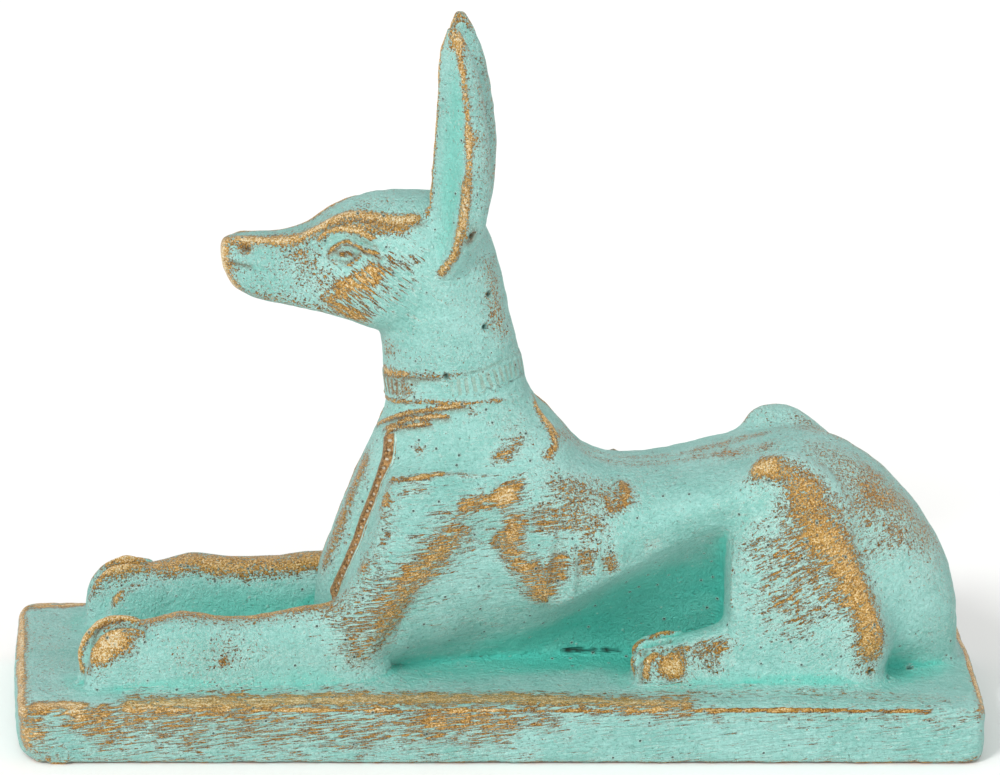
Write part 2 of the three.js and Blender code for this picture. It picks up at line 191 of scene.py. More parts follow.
# throat x and height, nape x and height, half width
NECK = [
    (-17.2, ROOT, -9, ROOT, 4.6),
    (-17.1, 12.5, -3, 13, 6.2),
    (-15.4, 18.6, 4, 20, 7.6),
    (-13.55, 23.5, 6.6, 25, 7.9),
    (-12.05, 27, 5.4, 28.4, 7),
    (-10.95, 29.4, 3.2, 31.2, 6),
    (-10.7, 30.8, 2.25, 33, 5.5),
    (-11, 33.3, 1.75, 35.4, 5.2),
    (-11.1, 35.6, 1.05, 38.4, 5.1),
    (-11.2, 38, 0.42, 41, 5.1),
    (-10.8, 42, -0.38, 44.4, 5),
    (-9.6, 46, -1.55, 47.8, 4.3),
]
px, pz, qx, qz, half = rows_along(NECK, 160).T
neck = skin(oval_rings(px, pz, qx, qz, 0, half, 2.1))

# x and height of the top, x and height of the underside, half width, squareness, lean
HEAD = [
    (-26.4, 46.35, -25.85, 42.7, 1.55, 3, -0.1),
    (-25.3, 46.75, -24.8, 41.3, 2.05, 3, -0.14),
    (-22.8, 46.85, -22.4, 40.5, 2.55, 2.9, -0.2),
    (-20, 47.05, -19.6, 40, 3, 3, -0.2),
    (-18, 47.75, -17.6, 39.55, 3.5, 3, -0.18),
    (-16.2, 49.05, -15.6, 39.1, 4.1, 3, -0.14),
    (-14.3, 50.05, -13.8, 38.6, 4.6, 3, -0.1),
    (-12, 50.65, -12, 38, 5, 2.9, -0.08),
    (-9, 50.8, -9.2, 38, 5.3, 2.7, -0.06),
    (-5.8, 50.55, -6, 39.5, 5.2, 2.5, 0),
    (-3, 49.4, -3.4, 42.4, 4.3, 2.2, 0),
]
px, pz, qx, qz, half, square, lean = rows_along(HEAD, 150).T
head = skin(domed(oval_rings(px, pz, qx, qz, 0, half, square, lean), start=0.25, end=1))

# Ears
# Each ear is a tall cupped blade, cast with the head and open forwards and outwards, with a thin rim round
# the cup.

# middle x and y, height, half depth, half width, share by which the cup cuts in
EAR = [
    (-5.9, -4.1, 43.4, 0.9, 1.1, 0.1),
    (-5.4, -4.4, 45.4, 1.9, 1.8, 0.3),
    (-4.8, -4.5, 48, 2.7, 2.3, 0.48),
    (-4.4, -4.3, 51.5, 2.88, 2.5, 0.54),
    (-4.27, -4.1, 55, 2.72, 2.4, 0.54),
    (-4.35, -3.9, 58.5, 2.47, 2.2, 0.52),
    (-4.58, -3.7, 62, 2.05, 1.8, 0.46),
    (-4.93, -3.5, 64.8, 1.5, 1.25, 0.35),
    (-5.15, -3.4, 67, 0.65, 0.6, 0.1),
]
EAR_FACES = radians(220)  # the way the cup opens, seen from above
EAR_OPENS = radians(62)  # half the cup's spread
CUP_POWER = 0.7  # below 1 the cup has a broad floor and steep walls
x, y, z, depth, width, cup = (column[:, None] for column in rows_along(EAR, 110).T)
turn = np.linspace(-np.pi, np.pi, SIDES, endpoint=False)[None, :]
inward = 1 - cup * np.cos(np.minimum(np.abs(turn) / EAR_OPENS, 1) * np.pi / 2).clip(0) ** CUP_POWER
angle = EAR_FACES + turn
ear_rings = np.stack([
    x + depth * np.cos(angle) * inward,
    y + width * np.sin(angle) * inward,
    np.broadcast_to(z, inward.shape),
], -1)
ear = skin(domed(ear_rings, end=0.35))

# Forelegs
# The forelegs lie flat along the plinth with the upper arms folded back over the breast.
# Each paw has four long toes, the middle two a little ahead of the others and higher.

# x, height of the top, half width, middle y
FORE_LEG = [
    (-38.7, 6.6, 1.3, -8.6),
    (-38.2, 8.2, 1.9, -8.6),
    (-37.3, 9.7, 2.4, -8.7),
    (-36, 10.7, 2.7, -8.9),
    (-34.3, 11.5, 2.95, -9),
    (-32.2, 11.95, 2.9, -9.1),
    (-29.7, 12.65, 2.95, -9.1),
    (-27.6, 12.3, 2.9, -9.1),
    (-25.2, 12.05, 2.8, -9),
    (-21.5, 12.3, 2.8, -8.7),
    (-18, 13.05, 2.8, -8.4),
    (-15, 13, 2.8, -8),
    (-12.6, 11, 2.3, -7.8),
]
x, top, half, y = rows_along(FORE_LEG, 140).T
fore_leg = skin(domed(oval_rings(x, top, x, SUNK, y, half, 2.7), end=1.2))
FAR_LEG_FULLER = 0.35  # the far foreleg is less dipped behind the wrist
far_top = top + FAR_LEG_FULLER * bell(x, -24, 4.5)
far_fore_leg = skin(domed(oval_rings(x, far_top, x, SUNK, y, half, 2.7), end=1.2))

# x, height, half width
TOE = [
    (-38.75, 7, 0.45),
    (-38.6, 8.4, 0.75),
    (-38.1, 9.8, 0.95),
    (-37.1, 11, 1),
    (-35.8, 11.6, 1),
    (-34.4, 11.7, 0.9),
    (-33.2, 11.5, 0.6),
]
# y of the middle, how far it reaches ahead of the outer toe, how much higher it is
FORE_TOES = [(-11.1, 0, 0), (-9.55, 0.65, 0.5), (-7.95, 0.6, 0.3), (-6.5, -1, -1.1)]


def toes(places, stations):
    """Closed forms of a paw's toes: one bent finger, widened or raised for each place across the paw."""
    x, top, half = rows_along(stations, 40).T
    return [
        skin(domed(oval_rings(x - ahead, top + lift, x - ahead, SUNK, y, half, 2.2), start=0.15, end=0.3))
        for y, ahead, lift in places
    ]


fore_toes = toes(FORE_TOES, TOE)

# height, front x, rear x, middle y, half width
UPPER_ARM = [
    (ROOT, -18.6, -12.8, -8, 2.4),
    (8.8, -17.9, -11.2, -8.1, 2.8),
    (12.5, -15.9, -9.4, -8, 3.1),
    (15.9, -14, -6.6, -7.6, 3.4),
    (19.3, -12.5, -3.7, -7.2, 3.6),
    (22.2, -11.6, -0.9, -6.8, 3.7),
    (24.2, -11.1, 1.2, -6.4, 3.6),
    (25.3, -10.8, 1.8, -6, 3.3),
]
z, front, rear, y, half = rows_along(UPPER_ARM, 100).T
upper_arm = skin(domed(oval_rings(front, z, rear, z, y, half, 2.4), end=0.9))

# Haunches
# The hind leg is folded: shin and thigh form one upright slab with a round knee on top, and the foot lies
# forwards.

# height, front x, rear x, middle y, half width, squareness
THIGH = [
    (ROOT, 21.3, 35.4, -6.6, 4.3, 4),
    (10, 21.1, 36.7, -6.8, 4.4, 4),
    (14.5, 21.1, 35.3, -6.7, 4.4, 4),
    (18.4, 21.1, 34, -6.6, 4.4, 3.6),
    (22, 21.6, 33.2, -6.7, 4, 3),
    (24.6, 22.2, 31.8, -7.1, 3.4, 2.4),
    (26.4, 22.9, 30, -7.6, 2.6, 2.1),
    (27.6, 23.9, 28.2, -7.9, 1.7, 2),
]
z, front, rear, y, half, square = rows_along(THIGH, 100).T
thigh = skin(domed(oval_rings(front, z, rear, z, y, half, square), end=0.4))

# x, height of the top, half width, middle y
HIND_FOOT = [
    (12.8, 5.9, 1.3, -8.2),
    (13.2, 6.8, 1.8, -8.2),
    (14, 7.6, 2.1, -8.2),
    (15.1, 8.6, 2.3, -8.2),
    (16.8, 10.05, 2.4, -8.1),
    (18.7, 10.6, 2.5, -8),
    (20.7, 11.3, 2.6, -8),
    (23, 12.2, 2.6, -8),
]
x, top, half, y = rows_along(HIND_FOOT, 60).T
hind_foot = skin(oval_rings(x, top, x, SUNK, y, half, 2.7))
HIND_TOE = [
    (12.6, 6.8, 0.35),
    (12.75, 7.7, 0.6),
    (13.3, 8.4, 0.8),
    (14.3, 8.75, 0.85),
    (15.8, 9, 0.8),
    (17.2, 9.2, 0.55),
]
HIND_TOES = [(-10.1, 0, 0), (-8.9, 0.3, 0.45), (-7.7, 0.3, 0.75), (-6.6, 0, 0.95)]
hind_toes = toes(HIND_TOES, HIND_TOE)

# Plinth
# The plinth is a plain slab cast with the jackal. Its edges and corners are worn round.

PLINTH_HALF_LENGTH = 45
PLINTH_HALF_WIDTH = 16.5
CORNER_RADIUS = 1.6
EDGE_RADIUS = 0.7
FOOT_CHAMFER = 0.35
SIDE_STEPS = 24
END_BOW = 0.4  # how far the ends bow out
BOW_MIDDLE = 1  # the bow's peak lies this far to the far side
CORNER_DEEPER = 0.6  # how much deeper the far left corner runs
TOP_SWELL = 0.26  # how far the top rises between the corners
TOP_SWELL_REACH = 44
SEAT_SWELL = 0.7  # how much more it rises under the haunches, as a share
CORNER_DROP = 0.5  # how far the corners lie below the drawn height, as a share of the rise
FOOT_CUT = 0.9  # how deep the near left corner's foot is cut in
FOOT_CUT_HEIGHT = 3
quarter = np.linspace(0, np.pi / 2, 12)


def slab_outline(inset, z):
    """The plinth's outline at a height, drawn in from its sides: four quarter circles round the corners'
    middles."""
    turn = (quarter[None, :] + np.arange(4)[:, None] * np.pi / 2).ravel()
    corner = np.repeat([[1, 1], [-1, 1], [-1, -1], [1, -1]], len(quarter), 0)
    centre = corner * [PLINTH_HALF_LENGTH - CORNER_RADIUS, PLINTH_HALF_WIDTH - CORNER_RADIUS]
    rim = centre + (CORNER_RADIUS - inset) * np.stack([np.cos(turn), np.sin(turn)], -1)
    rim = np.concatenate([rim, np.roll(rim, -1, 0)], 1).reshape(-1, 2, 2)
    share = np.linspace(0, 1, SIDE_STEPS, endpoint=False)[None, :, None]
    rim = (rim[:, :1] * (1 - share) + rim[:, 1:] * share).reshape(-1, 2)
    return np.concatenate([rim, np.full((len(rim), 1), z)], 1)


def uneven(points):
    """The slab as it came from the mould: its ends bow out in plan as a parabola, the far left corner runs
    deeper, its top swells between the corners, and the foot of the near left corner is cut in."""
    x, y, z = points.T
    bow = END_BOW * (1 - ((y - BOW_MIDDLE) / PLINTH_HALF_WIDTH) ** 2).clip(0)
    bow = bow * (np.abs(x) / PLINTH_HALF_LENGTH) ** 6 * np.sign(x)
    deeper = CORNER_DEEPER * bell(x, -42, 9) * (y / PLINTH_HALF_WIDTH).clip(0) ** 4
    swell = bell(x, 2, TOP_SWELL_REACH, 8) * (1 + SEAT_SWELL * bell(x, 27, 9))
    near_top = (z / GROUND).clip(0, 1) ** 3 * (1 - (z - GROUND) / 5).clip(0, 1)
    rise = TOP_SWELL * (swell - CORNER_DROP) * near_top
    cut = FOOT_CUT * bell(x, -PLINTH_HALF_LENGTH, 1.6) * bell(y, -PLINTH_HALF_WIDTH, 2.5)
    cut = cut * (1 - z / FOOT_CUT_HEIGHT).clip(0)
    return np.stack([x + bow + cut, y + deeper + 0.4 * cut, z + rise], -1)


round_edge = [
    slab_outline(EDGE_RADIUS * (1 - cos(t)), GROUND - EDGE_RADIUS * (1 - sin(t)))
    for t in np.linspace(0, np.pi / 2, 9)
]
plinth = skin(np.array([slab_outline(FOOT_CHAMFER, 0), slab_outline(0, FOOT_CHAMFER), *round_edge]))

# One casting
# The forms run into one another as the wax or clay did before the mould was made, with a soft fillet in
# each joint, widest where the limbs stand on the plinth. The toes and ears go on after that and keep
# sharper joints.

DRAWN_SHIFT = -0.05  # puts the drawing's origin over the middle of the plinth
FAR_ARM_SET_BACK = 0.9
FAR_KNEE_SET_BACK = 0.7
FAR_EAR_SET_BACK = 0.95
# how far the skin is softened and its creases are filled, in square mm: first on the large forms, then
# with the toes and ears on
LARGE_SOFTENING = 0.2
ALL_CREASES = 1.8
CREASES_AT_FEET = 3.5
CREASES_BEHIND_ARMS = 20
SMALL_SOFTENING = 0.14
SMALL_CREASES = 0.6
# where the fillets stay tighter: x from and to, height from and to, share of the filling that is left
TIGHTER = [
    (0, 6, 29, 34, 0.25),  # the hump behind the neck
    (15.2, 24, 7.6, 27.6, 0.12),  # the recess' wall at the shin
    (20, 32, 24.6, 99, 0.4),  # the knee
]
COARSE_VOXEL = 0.3
FINE_VOXEL = 0.16
MOST_TRIANGLES = 194000


def placed(name, data):
    """A new object of the given data, linked to the scene."""
    made = bpy.data.objects.new(name, data)
    bpy.context.scene.collection.objects.link(made)
    return made


def both(forms, set_back=0.0):
    """The forms and their mirror images on the far side, set back along the body."""
    return [version for form in forms for version in (form, across(form, set_back))]


def one_skin(forms, voxel):
    """One closed skin of four-sided faces round all the forms together, worked out on a grid of voxels.
    Gives its mesh, points, edges and faces."""
    starts = np.cumsum([0] + [len(points) for points, _ in forms])
    rough = bpy.data.meshes.new("rough_casting")
    faces = [face for (_, sides), start in zip(forms, starts) for face in (sides + start).tolist()]
    rough.from_pydata(np.concatenate([points for points, _ in forms]).tolist(), [], faces)
    holder = placed("rough_casting", rough)
    remesh = holder.modifiers.new("one_skin", "REMESH")
    remesh.mode = "VOXEL"
    remesh.voxel_size = voxel
    cast = bpy.data.meshes.new_from_object(holder.evaluated_get(bpy.context.evaluated_depsgraph_get()))
    bpy.data.objects.remove(holder)
    points = np.empty(len(cast.vertices) * 3)
    cast.vertices.foreach_get("co", points)
    edges = np.empty(len(cast.edges) * 2, int)
    cast.edges.foreach_get("vertices", edges)
    quads = np.empty(len(cast.loops), int)
    cast.loops.foreach_get("vertex_index", quads)
    return cast, points.reshape(-1, 3), edges.reshape(-1, 2), quads.reshape(-1, 4)


def neighbour_mean(values, edges):
    """For each point, the mean of its neighbours' values."""
    valence = np.bincount(edges.ravel(), minlength=len(values)).clip(1)
    columns = [
        np.bincount(edges[:, 0], column[edges[:, 1]], len(values))
        + np.bincount(edges[:, 1], column[edges[:, 0]], len(values))
        for column in values.T
    ]
    return np.stack(columns, -1) / valence[:, None]


def point_normals(points, quads):
    """Unit normals: each face's diagonals crossed, summed over the faces that meet at a point."""
    face = np.cross(points[quads[:, 2]] - points[quads[:, 0]], points[quads[:, 3]] - points[quads[:, 1]])
    total = np.stack([
        sum(np.bincount(quads[:, k], column, len(points)) for k in range(4)) for column in face.T
    ], -1)
    return total / np.linalg.norm(total, axis=1, keepdims=True).clip(1e-12)


NORMALS_EVERY = 5  # steps between two looks at which way is outwards
OUTWARD = 0.9  # the share of the way to the neighbours' mean that a point goes in one step
INWARD = 0.04
SOFTEN_STEP = 0.6


def fill_creases(points, edges, quads, voxel, amount, share):
    """Fills hollows as a finger smooths clay: each point moves outwards towards the mean of its neighbours
    by its share, and hardly inwards. The amount is in square mm, since the steps needed grow with the
    fineness squared."""
    for step in range(round(amount / voxel**2)):
        if step % NORMALS_EVERY == 0:
            normals = point_normals(points, quads)
        pull = np.einsum("ij,ij->i", neighbour_mean(points, edges) - points, normals)
        move = pull.clip(0, None) * share * OUTWARD + pull.clip(None, 0) * INWARD
        points = points + normals * move[:, None]
    return points


def soften(points, edges, voxel, amount):
    """Moves each point most of the way to the mean of its neighbours, over and over."""
    for _ in range(max(2, round(amount / voxel**2))):
        points = points + SOFTEN_STEP * (neighbour_mean(points, edges) - points)
    return points


body = [trunk, rump, neck, head, fore_leg, across(far_fore_leg, FAR_ARM_SET_BACK)]
body += both([hind_foot]) + both([upper_arm], FAR_ARM_SET_BACK) + both([thigh], FAR_KNEE_SET_BACK)
body = [(points + [DRAWN_SHIFT, 0, 0], triangles) for points, triangles in body] + [plinth]
coarse, points, edges, quads = one_skin(body, COARSE_VOXEL)
points = soften(points, edges, COARSE_VOXEL, LARGE_SOFTENING)
x, _, z = points.T
share = np.ones(len(points))
for x_from, x_to, z_from, z_to, left in TIGHTER:
    share[(x > x_from) & (x < x_to) & (z > z_from) & (z < z_to)] = left
points = fill_creases(points, edges, quads, COARSE_VOXEL, ALL_CREASES, share)
share = ((10 - points[:, 2]) / 2).clip(0, 1)
points = fill_creases(points, edges, quads, COARSE_VOXEL, CREASES_AT_FEET, share)
share = bell(points[:, 0], -6, 8.5, 4) * bell(points[:, 2], 12.5, 9, 4)
points = fill_creases(points, edges, quads, COARSE_VOXEL, CREASES_BEHIND_ARMS, share)
bpy.data.meshes.remove(coarse)

small = both([ear], FAR_EAR_SET_BACK) + both(hind_toes) + both(fore_toes, FAR_ARM_SET_BACK)
small = [(spots + [DRAWN_SHIFT, 0, 0], triangles) for spots, triangles in small]
cast, points, edges, quads = one_skin([(points, quads)] + small, FINE_VOXEL)
points = soften(points, edges, FINE_VOXEL, SMALL_SOFTENING)
x, y, z = points.T
on_toes = ((x < -33) | ((np.abs(x - 14) < 3) & (np.abs(y) > 5))) & (z > GROUND + 0.4) & (z < 14)
share = np.ones(len(points))
share[z > 51] = 0.1  # the ears
share[on_toes] = 0.12
points = fill_creases(points, edges, quads, FINE_VOXEL, SMALL_CREASES, share)

# Carving
# What the modeller cut or raised on the master before it was moulded: the edges of the head, eyes, nostrils
# and mouth, the collar with its ribbons, the sashes, lappets and ribs. All of it belongs to the one
# casting, so each line only raises or sinks the skin along its normals. Lines are given on the near side
# and mirrored to the far one.

points = uneven(points)
normals = point_normals(points, quads)
lift = np.zeros(len(points))


def folded(set_back=0.0):
    """The points with the far half laid over the near one and brought forward by its set back."""
    far = points[:, 1] > 0
    return np.stack([points[:, 0] - set_back * far, -np.abs(points[:, 1]), points[:, 2]], -1)


# where the points lie for the carving, and where with the far arm, knee or ear brought forward to its
# near twin
HERE = folded()
ON_ARM = folded(FAR_ARM_SET_BACK)
ON_KNEE = folded(FAR_KNEE_SET_BACK)
ON_EAR = folded(FAR_EAR_SET_BACK)


def distance(spots, centre):
    """How far each spot lies from a centre, in mm."""
    return np.linalg.norm(spots - centre, axis=1)


def moved(line, x, y, z):
    """The points of a line, moved by x, y and z in mm."""
    return np.array(line) + [x, y, z]


PATH_STEPS = 9  # straight steps between two points of a line
BELL_REACH = 2.5  # beyond this many widths a bell is nearly 0


def off_line(spots, line, reach):
    """For the spots within reach of the smooth line through some points: which they are, how far they are
    off it, their offset to its left as seen from outside, how far along it they lie in mm, and its
    length."""
    path = rows_along(line, PATH_STEPS * (len(line) - 1) + 1)
    close = np.flatnonzero(((spots > path.min(0) - reach) & (spots < path.max(0) + reach)).all(1))
    step = path[1:] - path[:-1]
    length = np.linalg.norm(step, axis=1)
    run = np.concatenate([[0], np.cumsum(length)])
    best = np.full(len(close), np.inf)
    side = np.zeros(len(close))
    along = np.zeros(len(close))
    outward = normals[close] * np.where(points[close, 1:2] > 0, [1, -1, 1], [1, 1, 1])
    for start, move, size, before in zip(path[:-1], step, length, run[:-1]):
        away = spots[close] - start
        share = (away @ move / size**2).clip(0, 1)
        away = away - share[:, None] * move
        off = np.linalg.norm(away, axis=1)
        nearer = off < best
        best = np.where(nearer, off, best)
        along = np.where(nearer, before + share * size, along)
        side = np.where(nearer, np.einsum("ij,ij->i", away, np.cross(outward, move / size)), side)
    kept = best < reach
    return close[kept], best[kept], side[kept], along[kept], run[-1]


def run_out(along, length, over, least):
    """1 along a line, falling evenly to the least share at its tips over the given length."""
    return np.minimum(1, np.minimum(along, length - along) / over + least)


def ridge(line, width, height, ends=1.0, spots=HERE):
    """Raises a bell-shaped ridge along a line, or cuts a groove where the height is below 0. It runs out
    over the given length at either end."""
    which, off, _, along, length = off_line(spots, line, BELL_REACH * width)
    lift[which] += height * bell(off, 0, width) * run_out(along, length, ends, 0.15)


def shelf(line, width, height, fade):
    """Raises the skin to the left of a line by a step as wide as the width, and lets it fall back over the
    fade."""
    which, _, side, along, length = off_line(HERE, line, fade * 1.6)
    rise = 1 / (1 + np.exp(-4 * side / width))
    lift[which] += height * rise * bell(side.clip(0), 0, fade, 4) * run_out(along, length, 1, 0.1)


def swell(centre, radius, height, spots=HERE):
    """Raises a round bell-shaped swelling, or a dip where the height is below 0."""
    lift[:] += height * bell(distance(spots, centre), 0, radius)


def ring_mark(centre, radius, width, height, spots=HERE):
    """Raises a small ring round a centre."""
    lift[:] += height * bell(distance(spots, centre), radius, width)


HEAD_EDGE = [
    (-25.4, -0.9, 46.6), (-23.2, -1.4, 46.4), (-20.9, -1.7, 46.4), (-19.1, -1.9, 46.8), (-17.4, -2, 47.7),
    (-15.8, -2.4, 48.7), (-14, -3, 49.4), (-12.2, -3.7, 49.3), (-9.9, -4, 49.1), (-7.8, -4, 49.3),
]
BROW = [(-17.6, -2.7, 46.6), (-16.3, -3, 47.7), (-14.9, -3.5, 48.1), (-13.8, -4, 48), (-12.2, -4.6, 47.4)]
UPPER_LID = [
    (-16.6, -3.6, 45.7), (-15.8, -3.8, 46.5), (-15, -4, 47), (-14.1, -4.3, 46.8), (-13.2, -4.6, 46.4),
    (-11.7, -4.9, 46),
]
LOWER_LID = [
    (-16.5, -3.7, 45.5), (-15.8, -4.1, 45), (-14.9, -4.3, 44.8), (-14.1, -4.5, 45.2), (-13.3, -4.6, 46),
]
EYEBALL = [(-15.7, -4, 45.8), (-15, -4.2, 45.95), (-14.1, -4.5, 45.9)]
NOSTRIL = (-24.1, -1.8, 45.8)
MOUTH = [(-26.3, -1.2, 44.5), (-25.7, -1.8, 44.4), (-25, -2, 44.3), (-23.7, -2.3, 44.1), (-21, -2.6, 43.5)]
MUZZLE_RIDGE = [
    (-19.1, -2.4, 46.2), (-18.6, -2.9, 45.4), (-17.9, -3.4, 44.3), (-17.2, -3.8, 42.8), (-15.8, -4.2, 41.5),
]
CHEEK = (-13.4, -4.8, 43)
JAW = [(-23.7, -2.1, 41.5), (-19.9, -2.6, 40.7), (-16.2, -3.3, 40), (-13.5, -3.7, 39.4), (-11.1, -3, 38.3)]

ridge(HEAD_EDGE, 0.5, 0.26)
ridge(moved(HEAD_EDGE[3:], 0, 1.5, 0.4), 0.9, -0.12)
swell((-14.6, -4.3, 46.1), 1.9, -0.34)
swell((-17.6, -3.2, 45.8), 1, -0.14)
ridge(EYEBALL, 0.45, 0.36, 0.3)
ridge(UPPER_LID, 0.24, 0.42, 1.4)
ridge(LOWER_LID, 0.22, 0.34, 0.6)
ridge(BROW, 0.34, 0.34)
ridge(moved(BROW, 0.1, -0.1, -0.75), 0.3, -0.14)
ridge(MUZZLE_RIDGE, 0.8, 0.16, 2)
ridge(JAW, 0.7, 0.12, 2)
ridge(MOUTH, 0.24, -0.26, 1.6)
swell(CHEEK, 2.6, 0.22)
swell(NOSTRIL, 0.4, -0.32)
ring_mark(NOSTRIL, 0.62, 0.24, 0.13)

TOE_ARCS = [
    [
        (-39, -10.7, 6.9), (-39.3, -9.9, 8.7), (-38.7, -9.7, 10.4), (-37.5, -9.6, 11.6), (-36, -9.4, 12.2),
        (-34, -9.4, 12.1),
    ],
    [(-37.4, 7.2, 8.6), (-37, 7.4, 10.4), (-35.8, 7.6, 11.5), (-34.4, 8, 11.9), (-32.6, 8.6, 11.9)],
]
HIND_TOE_ARCS = [
    [
        (12.5, -10.1, 6.3), (12.4, -9.1, 7.6), (12.6, -7.9, 8.6), (13.7, -7.3, 9.3), (15.1, -6.7, 9.7),
        (16.5, -6.7, 9.9),
    ],
    [
        (13.5, -10.9, 6.5), (13.5, -10.8, 7.6), (14, -10.3, 8.6), (15, -9.6, 9), (16.5, -9.7, 9.3),
        (17.7, -9.9, 9.3),
    ],
]
HIND_TOE_GROOVE = [
    (13, -10.9, 6.3), (12.9, -10.5, 7.7), (13.5, -9.3, 8.7), (14.4, -8.6, 9.1), (15.9, -8.2, 9.5),
]
for arc in TOE_ARCS:
    ridge(arc, 0.28, 0.26)
for arc in HIND_TOE_ARCS:
    ridge(arc, 0.26, 0.26)
ridge(HIND_TOE_GROOVE, 0.24, -0.3)
TOE_GROOVE = [
    (-38.4, -11.9, 7.7), (-38.5, -11, 8.9), (-38, -10.2, 10.4), (-37.2, -10, 11.5), (-35.6, -9.8, 12),
]
ridge(TOE_GROOVE, 0.26, -0.3)

# the thin rims of the ears, taken from the blade's own stations
rim_turns = {"front": EAR_FACES - EAR_OPENS, "outer": EAR_FACES + EAR_OPENS}
EAR_RIMS = {
    name: [
        (x + depth * cos(a) + DRAWN_SHIFT, y + width * sin(a), z) for x, y, z, depth, width, _ in EAR[2:]
    ]
    for name, a in rim_turns.items()
}
EAR_FOOT = [
    (-4.1, -6.4, 53.5), (-4.3, -6.7, 50.4), (-4.6, -6.6, 48.4), (-4.8, -6.3, 46.5), (-5.7, -5.8, 45.1),
    (-6.3, -5.3, 44),
]
ridge(EAR_FOOT, 0.4, 0.26, spots=ON_EAR)
ridge([(-5.2, -5.4, 50), (-5.7, -5.3, 47.6), (-6.2, -5.2, 45.6)], 0.7, -0.3, spots=ON_EAR)
ridge(EAR_RIMS["outer"], 0.4, 0.16, spots=ON_EAR)
ridge(EAR_RIMS["front"], 0.28, 0.08, spots=ON_EAR)

COLLAR_TOP = [
    (-11.1, 0, 33.6), (-10.8, -1.5, 33.7), (-8.7, -4.1, 34.1), (-6, -5.1, 34.3), (-3.8, -5.1, 34.6),
    (-2.2, -4.8, 34.9), (-0.1, -3.7, 35.5), (1.2, -2.1, 35.6), (1.7, 0, 35.7),
]
COLLAR_FOOT = [
    (-11, 0, 31.1), (-10.6, -1.4, 31.2), (-9.6, -3.3, 31.4), (-6.9, -5, 31.9), (-4.1, -5.5, 31.9),
    (-0.3, -4.7, 31.9), (1.6, -3.1, 31.9), (2.3, 0, 31.9),
]
shelf(COLLAR_TOP[::-1], 0.22, 0.2, 3.2)
ridge(COLLAR_TOP, 0.16, -0.08)
ridge(COLLAR_FOOT, 0.22, 0.12)
ridge([(x, y * 1.01, z - 0.5) for x, y, z in COLLAR_FOOT], 0.3, -0.1)
RIBBONS = [
    [(-11.5, -0.2, 28.2), (-10.3, -2.7, 29.6), (-8.7, -4.3, 30.6), (-5.9, -5.4, 31.4), (-3.6, -5.6, 31.7)],
    [(-11, -2.2, 28.3), (-10, -3.4, 29.2), (-8.7, -4.4, 30), (-6.3, -5.5, 30.6), (-5, -5.9, 30.7)],
    [(-10.8, -2.9, 27.9), (-10.2, -3.5, 28.8), (-8.2, -5, 29.6), (-6.7, -5.6, 30)],
]
for ribbon in RIBBONS:
    ridge(ribbon, 0.24, 0.17, 1.5)

# the sash that hangs from the collar down the breast, and the combed hair beside it
SASH = [
    (-10.6, -3.2, 28.3), (-10.7, -4.1, 27), (-11.2, -4.7, 25.1), (-12, -5, 22.8), (-12.9, -5, 20.2),
    (-13.6, -5, 17.9), (-14.5, -4.7, 15.5), (-15.4, -4.1, 13.2),
]
ridge(SASH, 0.42, 0.34, 0.8)
ridge(moved(SASH[1:], 0.75, -0.45, 0), 0.3, -0.16)
ridge(moved(SASH[1:], -0.6, 0.5, 0), 0.3, -0.12)
for k in range(3):
    comb = [(x - 0.85 - 0.4 * k, y + 1.1 + 0.95 * k, z - 0.2 * k) for x, y, z in SASH[2:]]
    ridge(comb, 0.26, 0.12, 2)

# arms, lappets, ribs and the mark on the hip
ARM_FRONT = [
    (-11, -7.5, 24), (-11.2, -8.3, 22.8), (-11.3, -9.1, 21.1), (-12.3, -9.6, 18.3), (-13.3, -9.6, 15.5),
]
SHOULDER = [
    (-10.8, -7.4, 24.8), (-9.7, -8.1, 25.4), (-7.8, -8.4, 25.6), (-5.5, -8.4, 25.8), (-3.2, -8.6, 25.7),
    (-0.4, -8.2, 25.6),
]
LAPPET = [
    (-1.7, -9.5, 24.1), (-1.4, -9.4, 24.6), (-0.9, -9, 25.1), (0.1, -8.3, 25.5), (1, -7.9, 25.9),
    (1.8, -8.1, 25.6), (1.4, -8.7, 24.2), (1, -9, 23), (0.4, -9, 22.4), (-0.4, -9, 22.2),
    (-1.1, -9.2, 22.9),
]
LAPPET_CURL = [(-0.2, -9, 24.3), (0.5, -8.7, 24.1), (0.3, -8.9, 23.5)]
LAPPET_TIP = [(0.2, -9.1, 22.5), (0.6, -9.1, 22), (0.9, -9.3, 21.3), (0.8, -9.4, 20.6), (0.1, -9.4, 20.3)]
FLANK_FRONT = [
    (-1.2, -9.1, 22), (-0.2, -9.3, 20.2), (0.8, -9.5, 18.8), (1.6, -9.4, 17.3), (2.8, -9, 15.2),
    (4.1, -8.7, 13.1),
]
RIBS = [
    [(4, -8.6, 12.7), (4, -9.2, 15.8), (4.2, -9.7, 18.9), (4.8, -9.6, 20.2), (6, -9.5, 20.5)],
    [(6.4, -9.6, 20.2), (6.5, -9.6, 17.9), (6.6, -9, 14.8), (6.5, -8.6, 13.2)],
    [(8.8, -9.2, 20.7), (8.8, -9.6, 17.9), (9, -8.7, 14.7), (8.8, -8, 13.6)],
    [(11, -9.1, 20.7), (11.1, -9.2, 17.7), (11.2, -8.3, 15)],
]
SHIN_CORNER = [(21, -9.4, 21), (21.2, -9.6, 18.6), (21.3, -9.7, 15.6), (21.4, -9.8, 12.8)]
HIP_MARK = [
    (9.6, -7.1, 23.3), (9.7, -7.9, 22.5), (10.3, -8.2, 22.2), (11.1, -7.8, 22.5), (11.5, -6.7, 23.3),
    (11, -4.9, 24.2),
]
ridge(ARM_FRONT, 1, 0.2, 2, ON_ARM)
ridge(SHOULDER, 0.35, 0.14, 2, ON_ARM)
